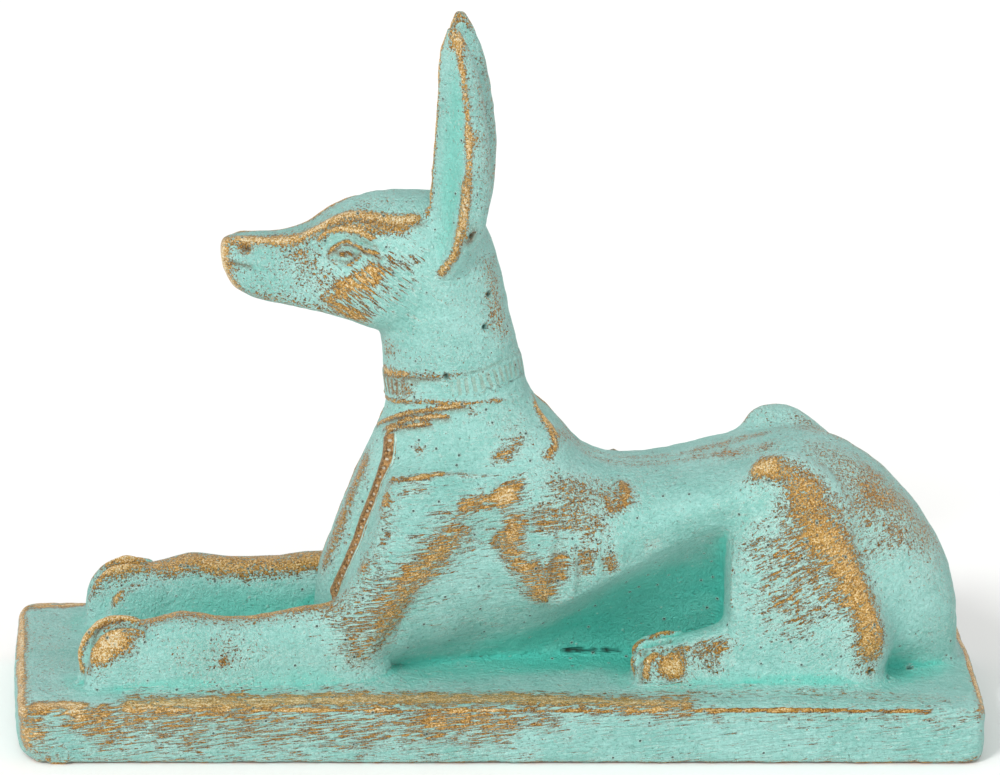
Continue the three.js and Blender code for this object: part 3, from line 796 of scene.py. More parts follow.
ridge(LAPPET, 0.24, 0.34, 0.4, ON_ARM)
ridge(LAPPET_CURL, 0.2, 0.3, 0.3, ON_ARM)
ridge(LAPPET_TIP, 0.2, 0.28, 0.4, ON_ARM)
swell((-0.2, -9.2, 23.6), 0.8, 0.25, ON_ARM)
ridge([(-10.8, -7.4, 8), (-9.4, -7.3, 11), (-7.4, -7.3, 14.4), (-4.8, -7.8, 17.4)], 1.9, 0.7, 2, ON_ARM)
swell((-11.2, -7.6, 6.8), 1.8, 0.8, ON_ARM)
ridge(FLANK_FRONT, 1.4, 0.4, 3)
swell((-1.3, -9.4, 20), 1.4, -0.5)
ridge(SHIN_CORNER, 0.4, 0.24, 1)
for rib in RIBS:
    ridge(rib, 0.28, 0.28, 1)
ridge(HIP_MARK, 0.26, 0.24, 0.5)

HAUNCH_RIDGE = [
    (26.2, -10, 26), (27.5, -10.5, 24.1), (29.4, -10.7, 21.2), (31.4, -10.8, 18.3), (32.8, -10.8, 15.4),
    (33.9, -10.8, 13), (34.4, -10.9, 10.5), (34.3, -10.8, 8),
]
HUMP_FOLDS = [
    [(2.6, -0.6, 31), (3.1, -2, 30.7), (4.3, -3.3, 29.4), (5.4, -4.3, 28)],
    [(3.4, -2.8, 30.2), (4.3, -4.2, 29.1), (4.8, -5.5, 27.8), (3.8, -7.3, 26.9)],
]
ridge(HAUNCH_RIDGE, 1.7, 0.3, 3, ON_KNEE)
ridge(moved(HAUNCH_RIDGE[2:], 3.2, 0.8, 0), 1.3, -0.35, 3, ON_KNEE)
for fold in HUMP_FOLDS:
    ridge(fold, 0.35, 0.16, 1.2)


def lumps(points, size, seed):
    """Smooth random lumps: seeded values between -1 and 1 on a lattice of the given size in mm, blended
    between its corners with an ease curve."""
    where = (points - points.min(0)) / size
    cell = where.astype(int)
    ease = (where - cell) ** 2 * (3 - 2 * (where - cell))
    values = np.random.default_rng(seed).uniform(-1, 1, cell.max(0) + 2)
    total = 0
    for corner in np.ndindex(2, 2, 2):
        weight = np.prod(np.where(corner, ease, 1 - ease), 1)
        total = total + weight * values[tuple((cell + corner).T)]
    return total


# bubbles that burst at the skin, and the ring and nub at the plinth's near left foot
BUBBLES = [
    (-1.8, -4.2, 38.9), (-1.4, -3.6, 41.9), (-3.3, -6.5, 48.2), (-5.4, -5.2, 34.4), (34.6, -10.7, 7.3),
    (36.6, -8.8, 6.1), (38.8, -5.5, 6), (41.6, -14.4, 5.7), (32.7, -10.9, 16.4), (-13.5, -12.3, 6.9),
    (-26, -12, 8.6), (-11, -10.6, 6.6),
]
RING = (-41.4, -16.5, 1)
bubble_sizes = np.random.default_rng(7).uniform(0.16, 0.3, len(BUBBLES))
for centre, radius in zip(BUBBLES, bubble_sizes):
    swell(centre, radius, -0.5, points)
    ring_mark(centre, radius + 0.22, 0.16, 0.08, points)
ring_mark(RING, 1, 0.26, 0.22, points)
swell(RING, 0.4, 0.3, points)

# how much painted shade darkens the pits: in the bubbles, and in a row of pinholes along the foot of the
# wall below the belly, which leans by about 18 degrees there. The pinholes are not cut into the skin: the
# painted shade is all there is of them
shaded_pits = sum(bell(distance(points, centre), 0, 0.2) for centre in BUBBLES)
x, y, z = points.T
up_wall = 0.31 * y + 0.95 * z
at_wall = (y > -3.5) & (y < 1.2)
for pinhole in (6.6, 7, 7.6, 8.1, 9.4, 10.2, 10.6, 11.4):
    shaded_pits += at_wall * bell(x, pinhole, 0.24, 4) * bell(up_wall, 5.68, 0.2, 4)

# the hand-worked skin: lumps by their height and size in mm
lift += 0.07 * lumps(points, 2.6, 1) + 0.045 * lumps(points, 1.1, 2) + 0.03 * lumps(points, 0.6, 3)
points = points + normals * lift[:, None]
normals = point_normals(points, quads)

# Wear, hollows and painted shade
# The piece was painted bronze, then verdigris green over it, and rubbed back while the paint was soft. What
# the paint needs to know about each point of the skin is worked out here: the share rubbed off, how deep in
# a hollow it lies, which gives both the teal of paint pooled there and the painted shade, where brown stayed
# in the cut lines, how the rubbing was drawn out into strokes, and its place on collar and sash.

WEAR_POWER = 2.4
bare = np.ones(len(points))


def rub(line, width, strength, spots=HERE):
    """Rubs the paint off along a line or round a single spot: a share of what is left, falling off as a
    bell."""
    if len(line) == 1:
        bare[:] *= 1 - strength * bell(distance(spots, line[0]), 0, width, WEAR_POWER)
        return
    which, off, _, along, length = off_line(spots, line, 2.2 * width)
    bare[which] *= 1 - strength * bell(off, 0, width, WEAR_POWER) * run_out(along, length, width, 0.3)


def spread_curve(points, normals, cell, blur):
    """How far the skin near each point lies in front of its tangent plane, in mm: above 0 where the skin is
    concave. The points are summed into a grid of cells, the sums are blurred by a bell some cells wide, and
    their mean place is compared with the point's own."""
    low = points.min(0) - 4 * cell
    index = np.rint((points - low) / cell).astype(int)
    size = index.max(0) + 5
    flat = np.ravel_multi_index(index.T, size)
    sums = [np.bincount(flat, weights, size.prod()).reshape(size) for weights in (None, *points.T)]
    reach = 3 * blur
    kernel = np.exp(-(np.arange(-reach, reach + 1) ** 2) / (2 * blur**2))
    kernel /= kernel.sum()
    for axis in range(3):
        sums = [
            sum(share * np.roll(part, step - reach, axis) for step, share in enumerate(kernel))
            for part in sums
        ]
    count, *place = (part.ravel()[flat] for part in sums)
    return np.einsum("ij,ij->i", np.stack(place, -1) / count[:, None] - points, normals)


# every crest that stands out by more than 0.07 mm is rubbed, up to half, and then each place that shows
# bronze in the photo
fine_curve = spread_curve(points, normals, 0.4, 1)
broad_curve = spread_curve(points, normals, 1.0, 2)
bare *= 1 - (0.55 * (-fine_curve - 0.07).clip(0) / 0.12).clip(0, 0.5)

# head and ears
rub(HEAD_EDGE, 0.6, 0.93)
rub([(-15.2, -3.2, 48.3), (-13, -4.2, 48.6), (-10.8, -4.6, 48.6), (-8.6, -4.6, 48.9)], 0.9, 0.72)
rub([
    (-26.2, 0, 46.6), (-26.4, -1, 45.8), (-26.2, -1.1, 44), (-25.8, -1.2, 42.5), (-24.6, -1.6, 41.5),
], 1, 0.93)
rub([(-26, 0, 45.5), (-25.9, 0, 43), (-24.8, 0, 41.4)], 1.6, 0.93)
rub([NOSTRIL], 0.8, 0.7)
rub([(-22.6, -1, 46.9), (-18.6, -1.2, 47.6), (-15, -1.8, 49.6), (-10, -2, 50.6)], 1.3, 0.2)
rub(UPPER_LID, 0.2, 0.75)
rub(LOWER_LID[2:], 0.16, 0.6)
rub([(-15.5, -4, 45.9), (-14.6, -4.3, 45.7)], 0.4, 0.7)
rub(BROW, 0.3, 0.75)
rub([(-16.2, -4.1, 43), (-14.4, -4.6, 42.8), (-12.8, -4.9, 44), (-11.6, -5, 45)], 1.3, 0.72)
rub([(-17.2, -3.9, 42), (-15.6, -4.2, 40.9), (-13.6, -4.1, 39.8), (-12.6, -4, 39)], 0.9, 0.6)
rub([(-14.6, -4.6, 42), (-12.4, -4.8, 41.6), (-10.6, -4.8, 43.6)], 1.8, 0.22)
rub([(-18.4, -3.2, 44.6)], 2.2, 0.36)
rub([(-21.6, -2.6, 43.6)], 2.4, 0.1)
rub([(-20.5, -2.6, 46), (-18.6, -2.9, 45.6)], 0.5, 0.35)
rub([(-23.5, -2, 41.6), (-20, -2.7, 40.8), (-16, -3.4, 40), (-13, -3.8, 39.2)], 0.8, 0.36)
rub([(-10.6, -5.2, 47), (-9, -5.4, 45), (-8.5, -5, 42.6)], 1.8, 0.2)
rub(EAR_RIMS["outer"], 0.36, 0.74, ON_EAR)
rub(EAR_FOOT, 0.42, 0.8, ON_EAR)
rub(EAR_RIMS["front"], 0.34, 0.9, ON_EAR)
rub([(-5, -3.5, 67), (-4.6, -4, 65)], 0.9, 0.8, ON_EAR)
rub([(-3.4, -6, 57.2)], 0.7, 0.8, ON_EAR)
rub([(-2.6, -3.6, 64), (-2, -4, 59), (-1.6, -4.2, 50)], 2.2, 0.3, ON_EAR)

# neck, collar and breast
rub([(-1.3, -3, 46), (-0.6, -3.4, 41), (0.2, -3, 37)], 1.6, 0.36)
rub([(-11.2, -1.2, 36.5), (-10.2, -3, 35.6)], 1.3, 0.42)
rub([(-11.2, 0, 33.9), (-10.9, -1.5, 33.9), (-8.9, -4, 34.2)], 0.4, 0.92)
rub([(-9, -4, 34.2), (-6, -5.1, 34.4), (-4, -5.1, 34.6)], 0.3, 0.45)
rub([(-10.8, -1.6, 32.5), (-9.2, -3.6, 32.7), (-8, -4.6, 32.9)], 1, 0.5)
rub(COLLAR_FOOT[:6], 0.26, 0.62)
for ribbon in RIBBONS:
    rub(ribbon, 0.27, 0.85)
rub([(-8.4, -5.9, 27.6), (-7.4, -6.3, 27.6)], 0.5, 0.62)
rub([(-3.6, -6, 31), (-2.4, -5.8, 31.3)], 0.6, 0.5)
rub([(-12.3, -1.6, 26.5), (-14.5, -2, 20), (-16.4, -1.4, 13.6)], 1.7, 0.6)
rub(SASH[1:], 0.3, 0.5)
rub([(2.2, -5.6, 28.4), (0.4, -7.2, 27.6), (-1.4, -8, 26.8)], 0.8, 0.55)
rub([(0.5, -6, 29.5)], 2.4, 0.25)

# forelegs and arms
ARM_BAND = [
    (-3.4, -10, 22), (-6, -10.4, 19), (-9, -10.5, 16), (-11.4, -10, 12.8), (-13.2, -9.8, 10),
    (-15, -10, 7.6),
]
rub(ARM_BAND, 2.2, 0.6, ON_ARM)
rub([(-5.4, -10, 19.6), (-8.6, -10.3, 15.2), (-11.6, -9.8, 10.4)], 1, 0.3, ON_ARM)
rub([(-10.9, -7.8, 24), (-11.2, -8.6, 22.8)], 0.7, 0.85, ON_ARM)
rub([(-13.1, -9.4, 17.6), (-13, -9.7, 16.6)], 0.75, 0.8, ON_ARM)
rub([(-10.6, -8.8, 24.2), (-11.8, -9.8, 20), (-14.6, -10, 14), (-16.4, -10.4, 11)], 1.7, 0.34, ON_ARM)
rub(SHOULDER[:4], 0.42, 0.78, ON_ARM)
rub([(-9.5, -8.6, 24.6), (-7, -9.4, 24.6)], 0.8, 0.5, ON_ARM)
rub(SHOULDER[3:], 0.3, 0.42, ON_ARM)
rub([(1.8, -8.2, 25), (0.2, -8.9, 24.4), (-2, -9.6, 23.7), (-4.6, -9.9, 23)], 0.9, 0.72, ON_ARM)
rub(LAPPET_TIP, 1, 0.72, ON_ARM)
rub([(-1, -9.4, 23.2), (0.2, -9.1, 23.8), (1.1, -8.7, 24.6)], 1, 0.9, ON_ARM)
rub(LAPPET, 0.28, -2, ON_ARM)
rub(LAPPET_CURL, 0.2, -1, ON_ARM)
LEG_TOP = [
    (-38, -8.8, 10.6), (-35.4, -9, 12), (-32, -9.1, 12.3), (-29.7, -9.1, 13), (-26.5, -9, 12.5),
    (-21.5, -8.8, 12.7), (-17.4, -8.6, 13.4), (-15.6, -8.4, 14.6),
]
rub(moved(LEG_TOP, 0, 0.6, -0.2), 1.9, 0.72, ON_ARM)
rub(moved(LEG_TOP[2:], 0, 1.8, -0.9), 1, 0.45, ON_ARM)
rub([(-37.6, -11.8, 8), (-37.1, -11.7, 9.8), (-36.1, -11.5, 10.8), (-34.8, -11.4, 11)], 1.15, 0.97, ON_ARM)
rub([(-36.4, -11.8, 9.6), (-34.4, -11.6, 10.4)], 1.1, 0.6, ON_ARM)
for arc in TOE_ARCS:
    rub(arc, 0.42, 0.86)
rub([(-38.6, -7.8, 8.6), (-37.8, -7.9, 11), (-36, -8, 12.2)], 0.5, 0.6, ON_ARM)
rub([(-31.5, -11.8, 9.6), (-22, -11.6, 9.4)], 2.2, 0.22, ON_ARM)
rub([(-37.4, -6, 8.6), (-36.2, -6, 10)], 0.8, 0.86, ON_ARM)

# flank and back
rub([(-0.6, -9.5, 21), (1, -9.7, 18.6), (3.2, -9.4, 15.6), (4.4, -8.8, 13.2)], 1.6, 0.7)
rub([(2, -9.4, 22.6), (4.6, -9.4, 21.8), (7.4, -9.3, 21.3), (9.8, -9.3, 21)], 1.7, 0.5)
rub([(5.2, -9.6, 19), (5.2, -9.2, 15.4)], 1.2, 0.66)
rub([(7.7, -9.4, 19.4), (7.8, -9, 15.8)], 1, 0.62)
rub([(10, -9.3, 18.8), (10.2, -9, 16)], 0.9, 0.6)
for rib in RIBS:
    rub(rib, 0.25, -0.5)
rub(HIP_MARK, 0.5, 0.5)
rub([(13, -8.4, 19.6), (14.6, -8.4, 19)], 1.1, 0.4)
for fold in HUMP_FOLDS:
    rub(fold, 0.5, 0.72)
rub([(5, -3.6, 28), (6.6, -1, 27.4), (10, -1, 25.6), (16, -1, 25.5), (22, -1, 26.4)], 1.2, 0.4)
rub([(3, -8.2, 24.6), (8, -7.4, 24), (13, -6.6, 23)], 2.2, 0.42)

# haunch, rump and hind feet
rub([(22.8, -8.8, 25.6), (23.2, -9, 26.6), (24.2, -9.4, 27.1), (25.8, -9.6, 27.3)], 1.2, 0.9, ON_KNEE)
rub([(24.6, -9.6, 26.8), (27.6, -9.8, 25.6), (29.6, -10, 23.4)], 1.3, 0.5, ON_KNEE)
rub(HAUNCH_RIDGE, 2.3, 0.48, ON_KNEE)
rub(HAUNCH_RIDGE[2:], 1.3, 0.5, ON_KNEE)
rub([(25, -10.4, 23.6), (26.4, -10.8, 19), (27.6, -11, 14), (29, -11, 10)], 5, 0.44, ON_KNEE)
rub([(30.6, -8.6, 25.6), (35, -7.6, 22), (38.5, -6, 18)], 4.5, 0.4)
rub([(27, -4, 27.2), (33, -4, 26), (38, -3.6, 21.4), (41.6, -3, 15)], 4, 0.34)
rub([(20, -2, 26.2), (26, -2.4, 27.4)], 1.6, 0.4)
rub([(31.6, -8.8, 17)], 0.8, 0.7)
rub([(14.6, -10.9, 7), (15.8, -10.7, 7.7), (17.6, -10.5, 7.8)], 1.5, 0.95)
for arc in HIND_TOE_ARCS:
    rub(arc, 0.34, 0.7)
rub([(17.4, -9.6, 9.4), (19.4, -10, 9.4), (21.8, -10.4, 9.8)], 1.1, 0.55)
rub([(18.6, -10.6, 7.6), (21, -10.8, 7.8)], 1, 0.4)
for centre in BUBBLES[4:]:
    rub([centre], 0.5, 0.5, points)

# plinth
rub([(-44, -15.6, 5.4), (-41, -15.2, 5.6), (-38.6, -15.8, 5.6)], 1.2, 0.85)
rub([
    (-36, -15.7, 5.6), (-26, -15.1, 5.7), (-12, -14.2, 5.8), (0, -14, 5.8), (9, -14.8, 5.8),
    (18, -15.4, 5.9),
], 1.6, 0.82)
rub([(-44.6, -15.6, 4.6), (-44.2, -16.2, 2.6), (-43.4, -16.6, 1)], 2.2, 0.8)
rub([(-44.9, -16, 5), (-45, -6, 5.3), (-45, 0, 5.3)], 0.8, 0.82)
rub([(-41.4, -16.6, 4.6), (-36, -16.6, 4.6)], 1.4, 0.6)
rub([(-40, -16.6, 2.6), (-12, -16.6, 3.6), (2, -16.6, 3.4)], 2.6, 0.4)
rub([(-8, -16.6, 4.4), (6, -16.6, 4.4)], 1.3, 0.32)
rub([(43.6, -16.5, 4.6), (30, -16.6, 4.8), (14, -16.6, 5)], 1, 0.2)
rub([(45, -16, 5.2), (45.2, -8, 5.5), (45.4, 0, 5.5)], 0.7, 0.85)
rub([(-43.6, -16.5, 0.3), (0, -16.5, 0.2), (43.6, -16.5, 0.3)], 0.34, 0.5)
rub([(-41, -13, 5.6), (-42, -6, 5.6), (-42, 0, 5.6)], 2.4, 0.15)
rub([(-36, -13.4, 5.7), (0, -12.6, 5.7), (42, -13.6, 5.7)], 1.6, 0.25)
worn = (1 - bare).clip(0, 1)

brown = np.zeros(len(points))


def leave_brown(line, width, strength, spots=HERE):
    """Leaves brown along a cut line, where the cloth couldn't reach, falling off as a bell."""
    which, off, _, _, _ = off_line(spots, line, BELL_REACH * width)
    brown[which] = np.maximum(brown[which], strength * bell(off, 0, width))


leave_brown(moved(BROW, 0.1, -0.1, -0.75), 0.22, 0.7)
leave_brown(moved(UPPER_LID, 0.1, 0, -0.32), 0.17, 1)
leave_brown(moved(LOWER_LID[1:], 0, 0, 0.28), 0.15, 0.9)
leave_brown(EYEBALL, 0.3, 0.8)
leave_brown(moved(HEAD_EDGE[4:], 0, -0.35, -0.5), 0.22, 0.6)
leave_brown([(-24.4, -1.7, 45.9), (-23.8, -1.9, 45.7)], 0.26, 0.9)
leave_brown(moved(UPPER_LID[:4], 0, 0, 0.3), 0.14, 0.6)
leave_brown(MOUTH[:4], 0.18, 0.8)
leave_brown(TOE_GROOVE, 0.2, 0.85)
leave_brown(HIND_TOE_GROOVE, 0.2, 0.85)
leave_brown(moved(TOE_ARCS[1], 0.45, -0.1, -0.2), 0.2, 0.7)
leave_brown(moved(EAR_FOOT, 0.35, -0.3, 0), 0.25, 0.7, ON_EAR)
leave_brown(moved(EAR_RIMS["outer"], 0.5, -0.3, 0), 0.24, 0.6, ON_EAR)
leave_brown([(-3.4, -6.1, 49.2), (-3.3, -6.4, 48.2), (-3.7, -6.5, 47.6)], 0.4, 0.9, ON_EAR)
leave_brown(moved(COLLAR_TOP[:4], 0, 0, -0.25), 0.16, 0.8)
leave_brown(COLLAR_TOP[4:], 0.12, 0.4)
for ribbon in RIBBONS:
    leave_brown(moved(ribbon, 0, 0, -0.3), 0.22, 0.75)
leave_brown(LAPPET[5:], 0.26, 0.75, ON_ARM)
leave_brown(LAPPET_CURL, 0.2, 0.5, ON_ARM)
leave_brown(moved(SHOULDER[:4], 0, 0, -0.3), 0.22, 0.7, ON_ARM)
leave_brown(HIP_MARK, 0.24, 0.6)
for rib in RIBS[:3]:
    leave_brown(moved(rib[1:3], 0.5, 0, 0), 0.24, 0.45)

# how deep in a hollow each point lies, which sets both the teal of paint pooled there and the painted shade
# there: a broad hollow counts from 0.25 mm on and fully 1.2 mm deeper, a fine one half from 0.05 mm on
hollow = ((broad_curve - 0.25) / 1.2).clip(0, 1) + 0.5 * ((fine_curve - 0.05) / 0.25).clip(0, 1)


def shade(centre, radii, strength, spots=HERE):
    """Adds painted shade in an ellipsoid round a centre, fading out as a bell."""
    hollow[:] += strength * bell(distance(spots / radii, np.divide(centre, radii)), 0, 1, 4)


# painted shade in the recess under the belly and at its foot, between the forelegs, and in the ears' cups
shade((15, -2, 11), (8, 6.6, 7), 0.7)
shade((5, -2, 8), (7, 5, 3.4), 0.5)
shade((-24, 0, 8), (14, 7.4, 3.6), 0.75)
shade((-5.6, -5.4, 56), (1.9, 1.4, 10), 0.4, ON_EAR)
hollow = hollow.clip(0, 1)

# the rubbing is drawn out into level strokes a little everywhere, most on the upper arm and the plinth,
# less at the plinth's rim and near left corner, and not above the breast; into hair-like strokes behind the
# jaw; and is swept upwards on the haunch
x, y, z = HERE.T
at_rim = (np.abs(z - GROUND) < 0.5) * (y > -12)
at_corner = (z < 6.4) * (x < -38) * (y > -15)
strokes = 0.25 + 0.75 * bell(x, -5, 12, 4) * bell(z, 16, 12, 4)
strokes += 0.75 * (z < GROUND + 0.8) - 0.4 * at_rim - 0.4 * at_corner
strokes = (strokes * (z < 34)).clip(0, 1)
combed = bell(x, -11.5, 5.2, 4) * bell(z, 43, 4.6, 4) * (z > 37)
swept = 0.7 * bell(x, 26, 13, 4) * bell(z, 16, 9, 4) * (y < -6) * (z > GROUND + 0.8)


def places_on(line, reach, left=1):
    """How far along a line each point lies and how far off it to the left, or to the right if left is -1,
    in mm. Beyond the reach both are -9, which the paint's patterns don't meet."""
    places = np.full((2, len(points)), -9.0)
    which, _, side, along, _ = off_line(HERE, line, reach)
    places[:, which] = along, left * side
    return places


collar_run, collar_drop = places_on(COLLAR_TOP, 2.4, -1)
sash_run, sash_off = places_on(SASH, 1.2)
skin_values = {
    "worn": worn, "hollow": hollow, "shaded_pits": shaded_pits, "brown": brown,
    "strokes": strokes, "combed": combed, "swept": swept,
    "collar_run": collar_run, "collar_drop": collar_drop, "sash_run": sash_run, "sash_off": sash_off,
}

# The casting's skin is thinned where it is plain and keeps its points where it is carved.
cast.vertices.foreach_set("co", points.astype(np.float32).ravel())
for name, values in skin_values.items():
    cast.attributes.new(name, "FLOAT", "POINT").data.foreach_set("value", values.astype(np.float32))
cast.update()
carved = placed("carved_casting", cast)
thin = carved.modifiers.new("thin_out", "DECIMATE")
thin.ratio = min(1, MOST_TRIANGLES / (2 * len(quads)))
cast = bpy.data.meshes.new_from_object(carved.evaluated_get(bpy.context.evaluated_depsgraph_get()))
bpy.data.objects.remove(carved)
spots = np.empty(len(cast.vertices) * 3, np.float32)
cast.vertices.foreach_get("co", spots)
cast.vertices.foreach_set("co", spots * np.float32(0.001))
cast.update()
cast.name = "jackal_casting"
jackal = placed("jackal_casting", cast)


def linear(hex_colour):
    """A colour given as sRGB hex, as linear red, green, blue and alpha."""
    c = np.array([int(hex_colour[i : i + 2], 16) / 255 for i in (1, 3, 5)])
    return (*np.where(c <= 0.04045, c / 12.92, ((c + 0.055) / 1.055) ** 2.4), 1.0)


def add(kind, inputs, out=0, **settings):
    """Adds a shader node to the paint with its settings, links or sets its inputs, by name or in the node's
    own order, and gives back one output. A MapRange's inputs are its value, from min, from max, to min and
    to max."""
    node = paint.node_tree.nodes.new("ShaderNode" + kind)
    for name, value in settings.items():
        setattr(node, name, value)
    for key, value in inputs.items() if isinstance(inputs, dict) else enumerate(inputs):
        if isinstance(value, bpy.types.NodeSocket):
            paint.node_tree.links.new(value, node.inputs[key])
        else:
            node.inputs[key].default_value = value
    return node.outputs[out]


# Bronze paint under a brushed coat of verdigris green, both matt acrylic on the cast. The green is a chalky
# film that stands slightly proud of the bronze, so its torn edges catch the light. The bronze is a metallic
# paint: brown where it is thinly rubbed, gold where it is bare. Painted shade lies in the hollows and pits,
# and painted highlights on the torn edges, the crater rims, the sash's edge and as glints in the bronze.
paint = bpy.data.materials.new("verdigris_on_bronze_with_painted_shade_and_highlights")
paint.use_nodes = True
place = add("TexCoord", [], out="Object")
mm = add("VectorMath", {0: place, "Scale": 1000}, operation="SCALE")
kept = {name: add("Attribute", [], out="Fac", attribute_name=name) for name in skin_values}

# noise by its cells to the mm, detail, roughness and distortion: crumbs of paint about 0.2 mm across, the
# finest grain, patches of more and less wear, painted glints in the bronze, clouds and mottling in the
# green, and brush marks
NOISE_INPUTS = ("Vector", "Scale", "Detail", "Roughness", "Distortion")
noise = {
    name: add("TexNoise", dict(zip(NOISE_INPUTS, (mm, cells, detail, rough, bent))))
    for name, cells, detail, rough, bent in (
        ("crumbs", 4.6, 3, 0.65, 0.6),
        ("finest", 9, 2, 0.7, 0),
        ("patches", 0.45, 3, 0.6, 0),
        ("painted_glints", 6, 3, 0.75, 0),
        ("clouds", 0.12, 4, 0.6, 0),
        ("mottle", 2.2, 5, 0.8, 0.3),
        ("brushed", 1.3, 3, 0.6, 0.8),
    )
}

# the grain that the rubbing left: crumbs, drawn out into level, combed and swept strokes. Each kind has the
# angle in degrees that it runs at, its stretch along, into and across the side, its roughness and its
# distortion. With 0.8 cells to each unit, a level stroke is about 1.9 mm long and 0.16 mm thick.
STROKE_CELLS, STROKE_DETAIL = 0.8, 4
grain = noise["crumbs"]
for name, angle, stretch, rough, bent in (
    ("strokes", -7, (1.5, 0.3, 0.13), 0.65, 1),
    ("combed", 36, (1.2, 0.3, 0.17), 0.6, 0.4),
    ("swept", -26, (0.8, 0.3, 0.2), 0.65, 1),
):
    turned = {"Vector": mm, "Rotation": (0, radians(angle), 0), "Scale": stretch}
    drawn = (add("Mapping", turned, vector_type="TEXTURE"), STROKE_CELLS, STROKE_DETAIL, rough, bent)
    drawn = add("TexNoise", dict(zip(NOISE_INPUTS, drawn)))
    grain = add("Mix", {0: kept[name], 2: grain, 3: drawn})
grain = add("Mix", {0: 0.25, 2: grain, 3: noise["finest"]})
even_grain = add("MapRange", [grain, 0.37, 0.63])
even_grain.node.clamp = False

# how much bronze shows: the worn share, all of it on the plinth's rim and some at its foot, more and less
# in patches and less in hollows, against the grain
RIM_INSET = 0.1  # the rim's line runs this far inside the slab's corner, in mm
coords = add("SeparateXYZ", [mm]).node.outputs
off_side, off_end = (
    add("Math", [add("Math", [coords[axis]], operation="ABSOLUTE"), reach - RIM_INSET], operation="SUBTRACT")
    for axis, reach in (("Y", PLINTH_HALF_WIDTH), ("X", PLINTH_HALF_LENGTH))
)
out_by = add("Math", [off_side, off_end], operation="MAXIMUM")
over_by = add("Math", [coords["Z"], GROUND - RIM_INSET], operation="SUBTRACT")
off_rim = add("VectorMath", [add("CombineXYZ", [out_by, over_by])], out="Value", operation="LENGTH")
rim = add("MapRange", [off_rim, 0.46, 0.3])
foot = add("MapRange", [coords["Z"], 0.5, 0.15, 0, 0.6])
rim = add("Math", [rim, foot], operation="MAXIMUM")
share = add("Math", [kept["worn"], rim], operation="MAXIMUM")
patchy = add("Math", [noise["patches"], -0.4], operation="ADD")
share = add("Math", [patchy, 0.6, share], operation="MULTIPLY_ADD")
share = add("Math", [kept["hollow"], -0.3, share], operation="MULTIPLY_ADD")
gap = add("Math", [share, even_grain], operation="SUBTRACT")
bronze_shows = add("MapRange", [gap, -0.05, 0.16], interpolation_type="SMOOTHSTEP")

# the bronze, dark at the torn edge of the green and gold where it is well rubbed, with painted glints up to
# near white
rubbed = add("Math", [gap, 1.6, kept["worn"]], operation="MULTIPLY_ADD")
rubbed = add("Math", [noise["painted_glints"], 6, rubbed], operation="MULTIPLY_ADD")
bronze = add("ValToRGB", [add("MapRange", [rubbed, 2.85, 5.35])], out="Color")
tones = bronze.node.color_ramp.elements
tones[0].color = linear("#634216")
tones[1].color = linear("#FFF2CE")
for position, tone in ((0.22, "#906224"), (0.45, "#C08C3C"), (0.7, "#E6B866")):
    tones.new(position).color = linear(tone)

# the green's tones: paler where it dried thick; teal in the hollows, partly paint pooled there and partly
# painted shade; browned where it is rubbed thin; a painted highlight along the torn edges; and dark specks
# in sunk pores, partly paint gathered there and partly painted shade
cloud = add("Mix", {0: 0.55, 2: noise["clouds"], 3: noise["mottle"]})
cloud = add("MapRange", [cloud, 0.4, 0.6])
teal = add("Mix", {0: kept["hollow"], 6: linear("#84D8C8"), 7: linear("#58D2C0")}, out=2, data_type="RGBA")
teal_share = add("MapRange", [kept["hollow"], 0.05, 0.55])
thin_film = add("Math", [kept["worn"], 2.2], operation="POWER")
thin_film = add("Math", [thin_film, 0.5], operation="MULTIPLY")
# a painted highlight in pale green along the torn edges of the green film
painted_edge_highlight = add("MapRange", [gap, -0.3, -0.09], interpolation_type="SMOOTHSTEP")
painted_edge_highlight = add("Math", [painted_edge_highlight, 0.7], operation="MULTIPLY")
# dark specks in sunk pores: partly paint gathered there, partly painted shade
shaded_pore = add("MapRange", [noise["crumbs"], 0.35, 0.3, 0, 0.7])

# craters about 0.2 mm wide that burst bubbles left in the cast, one in every 10 square mm: darkened by
# painted shade, with a painted highlight on the pale rim. Brown is left in the cut lines, broken up by the
# crumbs.
crater_off = add("TexVoronoi", {"Vector": mm, "Scale": 0.75}, out="Distance")
# a painted highlight on each crater's rim
crater_rim_highlight = add("MapRange", [crater_off, 0.17, 0.11, 0, 0.55])
crater = add("MapRange", [crater_off, 0.1, 0.06, 0, 0.85])
shaded_pit = add("Math", [crater, kept["shaded_pits"]], operation="MAXIMUM")
broken = add("MapRange", [noise["crumbs"], 0.36, 0.5])
left_brown = add("Math", [kept["brown"], broken], operation="MULTIPLY")

# the sash: a brown braid 1.4 mm wide with pale beads every 0.85 mm along it, and a painted highlight in a
# crisp pale line beside it
HALF_BEAD_STEP = 0.425
off_middle = add("Math", [kept["sash_off"]], operation="ABSOLUTE")
on_sash = add("MapRange", [off_middle, 0.78, 0.64])
started = add("Math", [kept["sash_run"], 0.2], operation="GREATER_THAN")
on_sash = add("Math", [on_sash, started], operation="MULTIPLY")
twist = add("MapRange", [noise["crumbs"], 0.36, 0.62])
braid = add("Mix", {0: twist, 6: linear("#6E4A20"), 7: linear("#CFA066")}, out=2, data_type="RGBA")
bead_along = add("Math", [kept["sash_run"], HALF_BEAD_STEP], operation="PINGPONG")
bead_along = add("Math", [bead_along, 2], operation="POWER")
bead_aside = add("Math", [kept["sash_off"], -0.3], operation="ADD")
bead_aside = add("Math", [bead_aside, 2], operation="POWER")
bead = add("Math", [bead_along, bead_aside], operation="ADD")
bead = add("MapRange", [bead, 0.022, 0.008, 0, 0.65])
bead = add("Math", [bead, on_sash], operation="MULTIPLY")
edge_off = add("Math", [kept["sash_off"], 0.9], operation="SUBTRACT")
edge_off = add("Math", [edge_off], operation="ABSOLUTE")
sash_edge_highlight = add("MapRange", [edge_off, 0.12, 0.05, 0, 0.8])

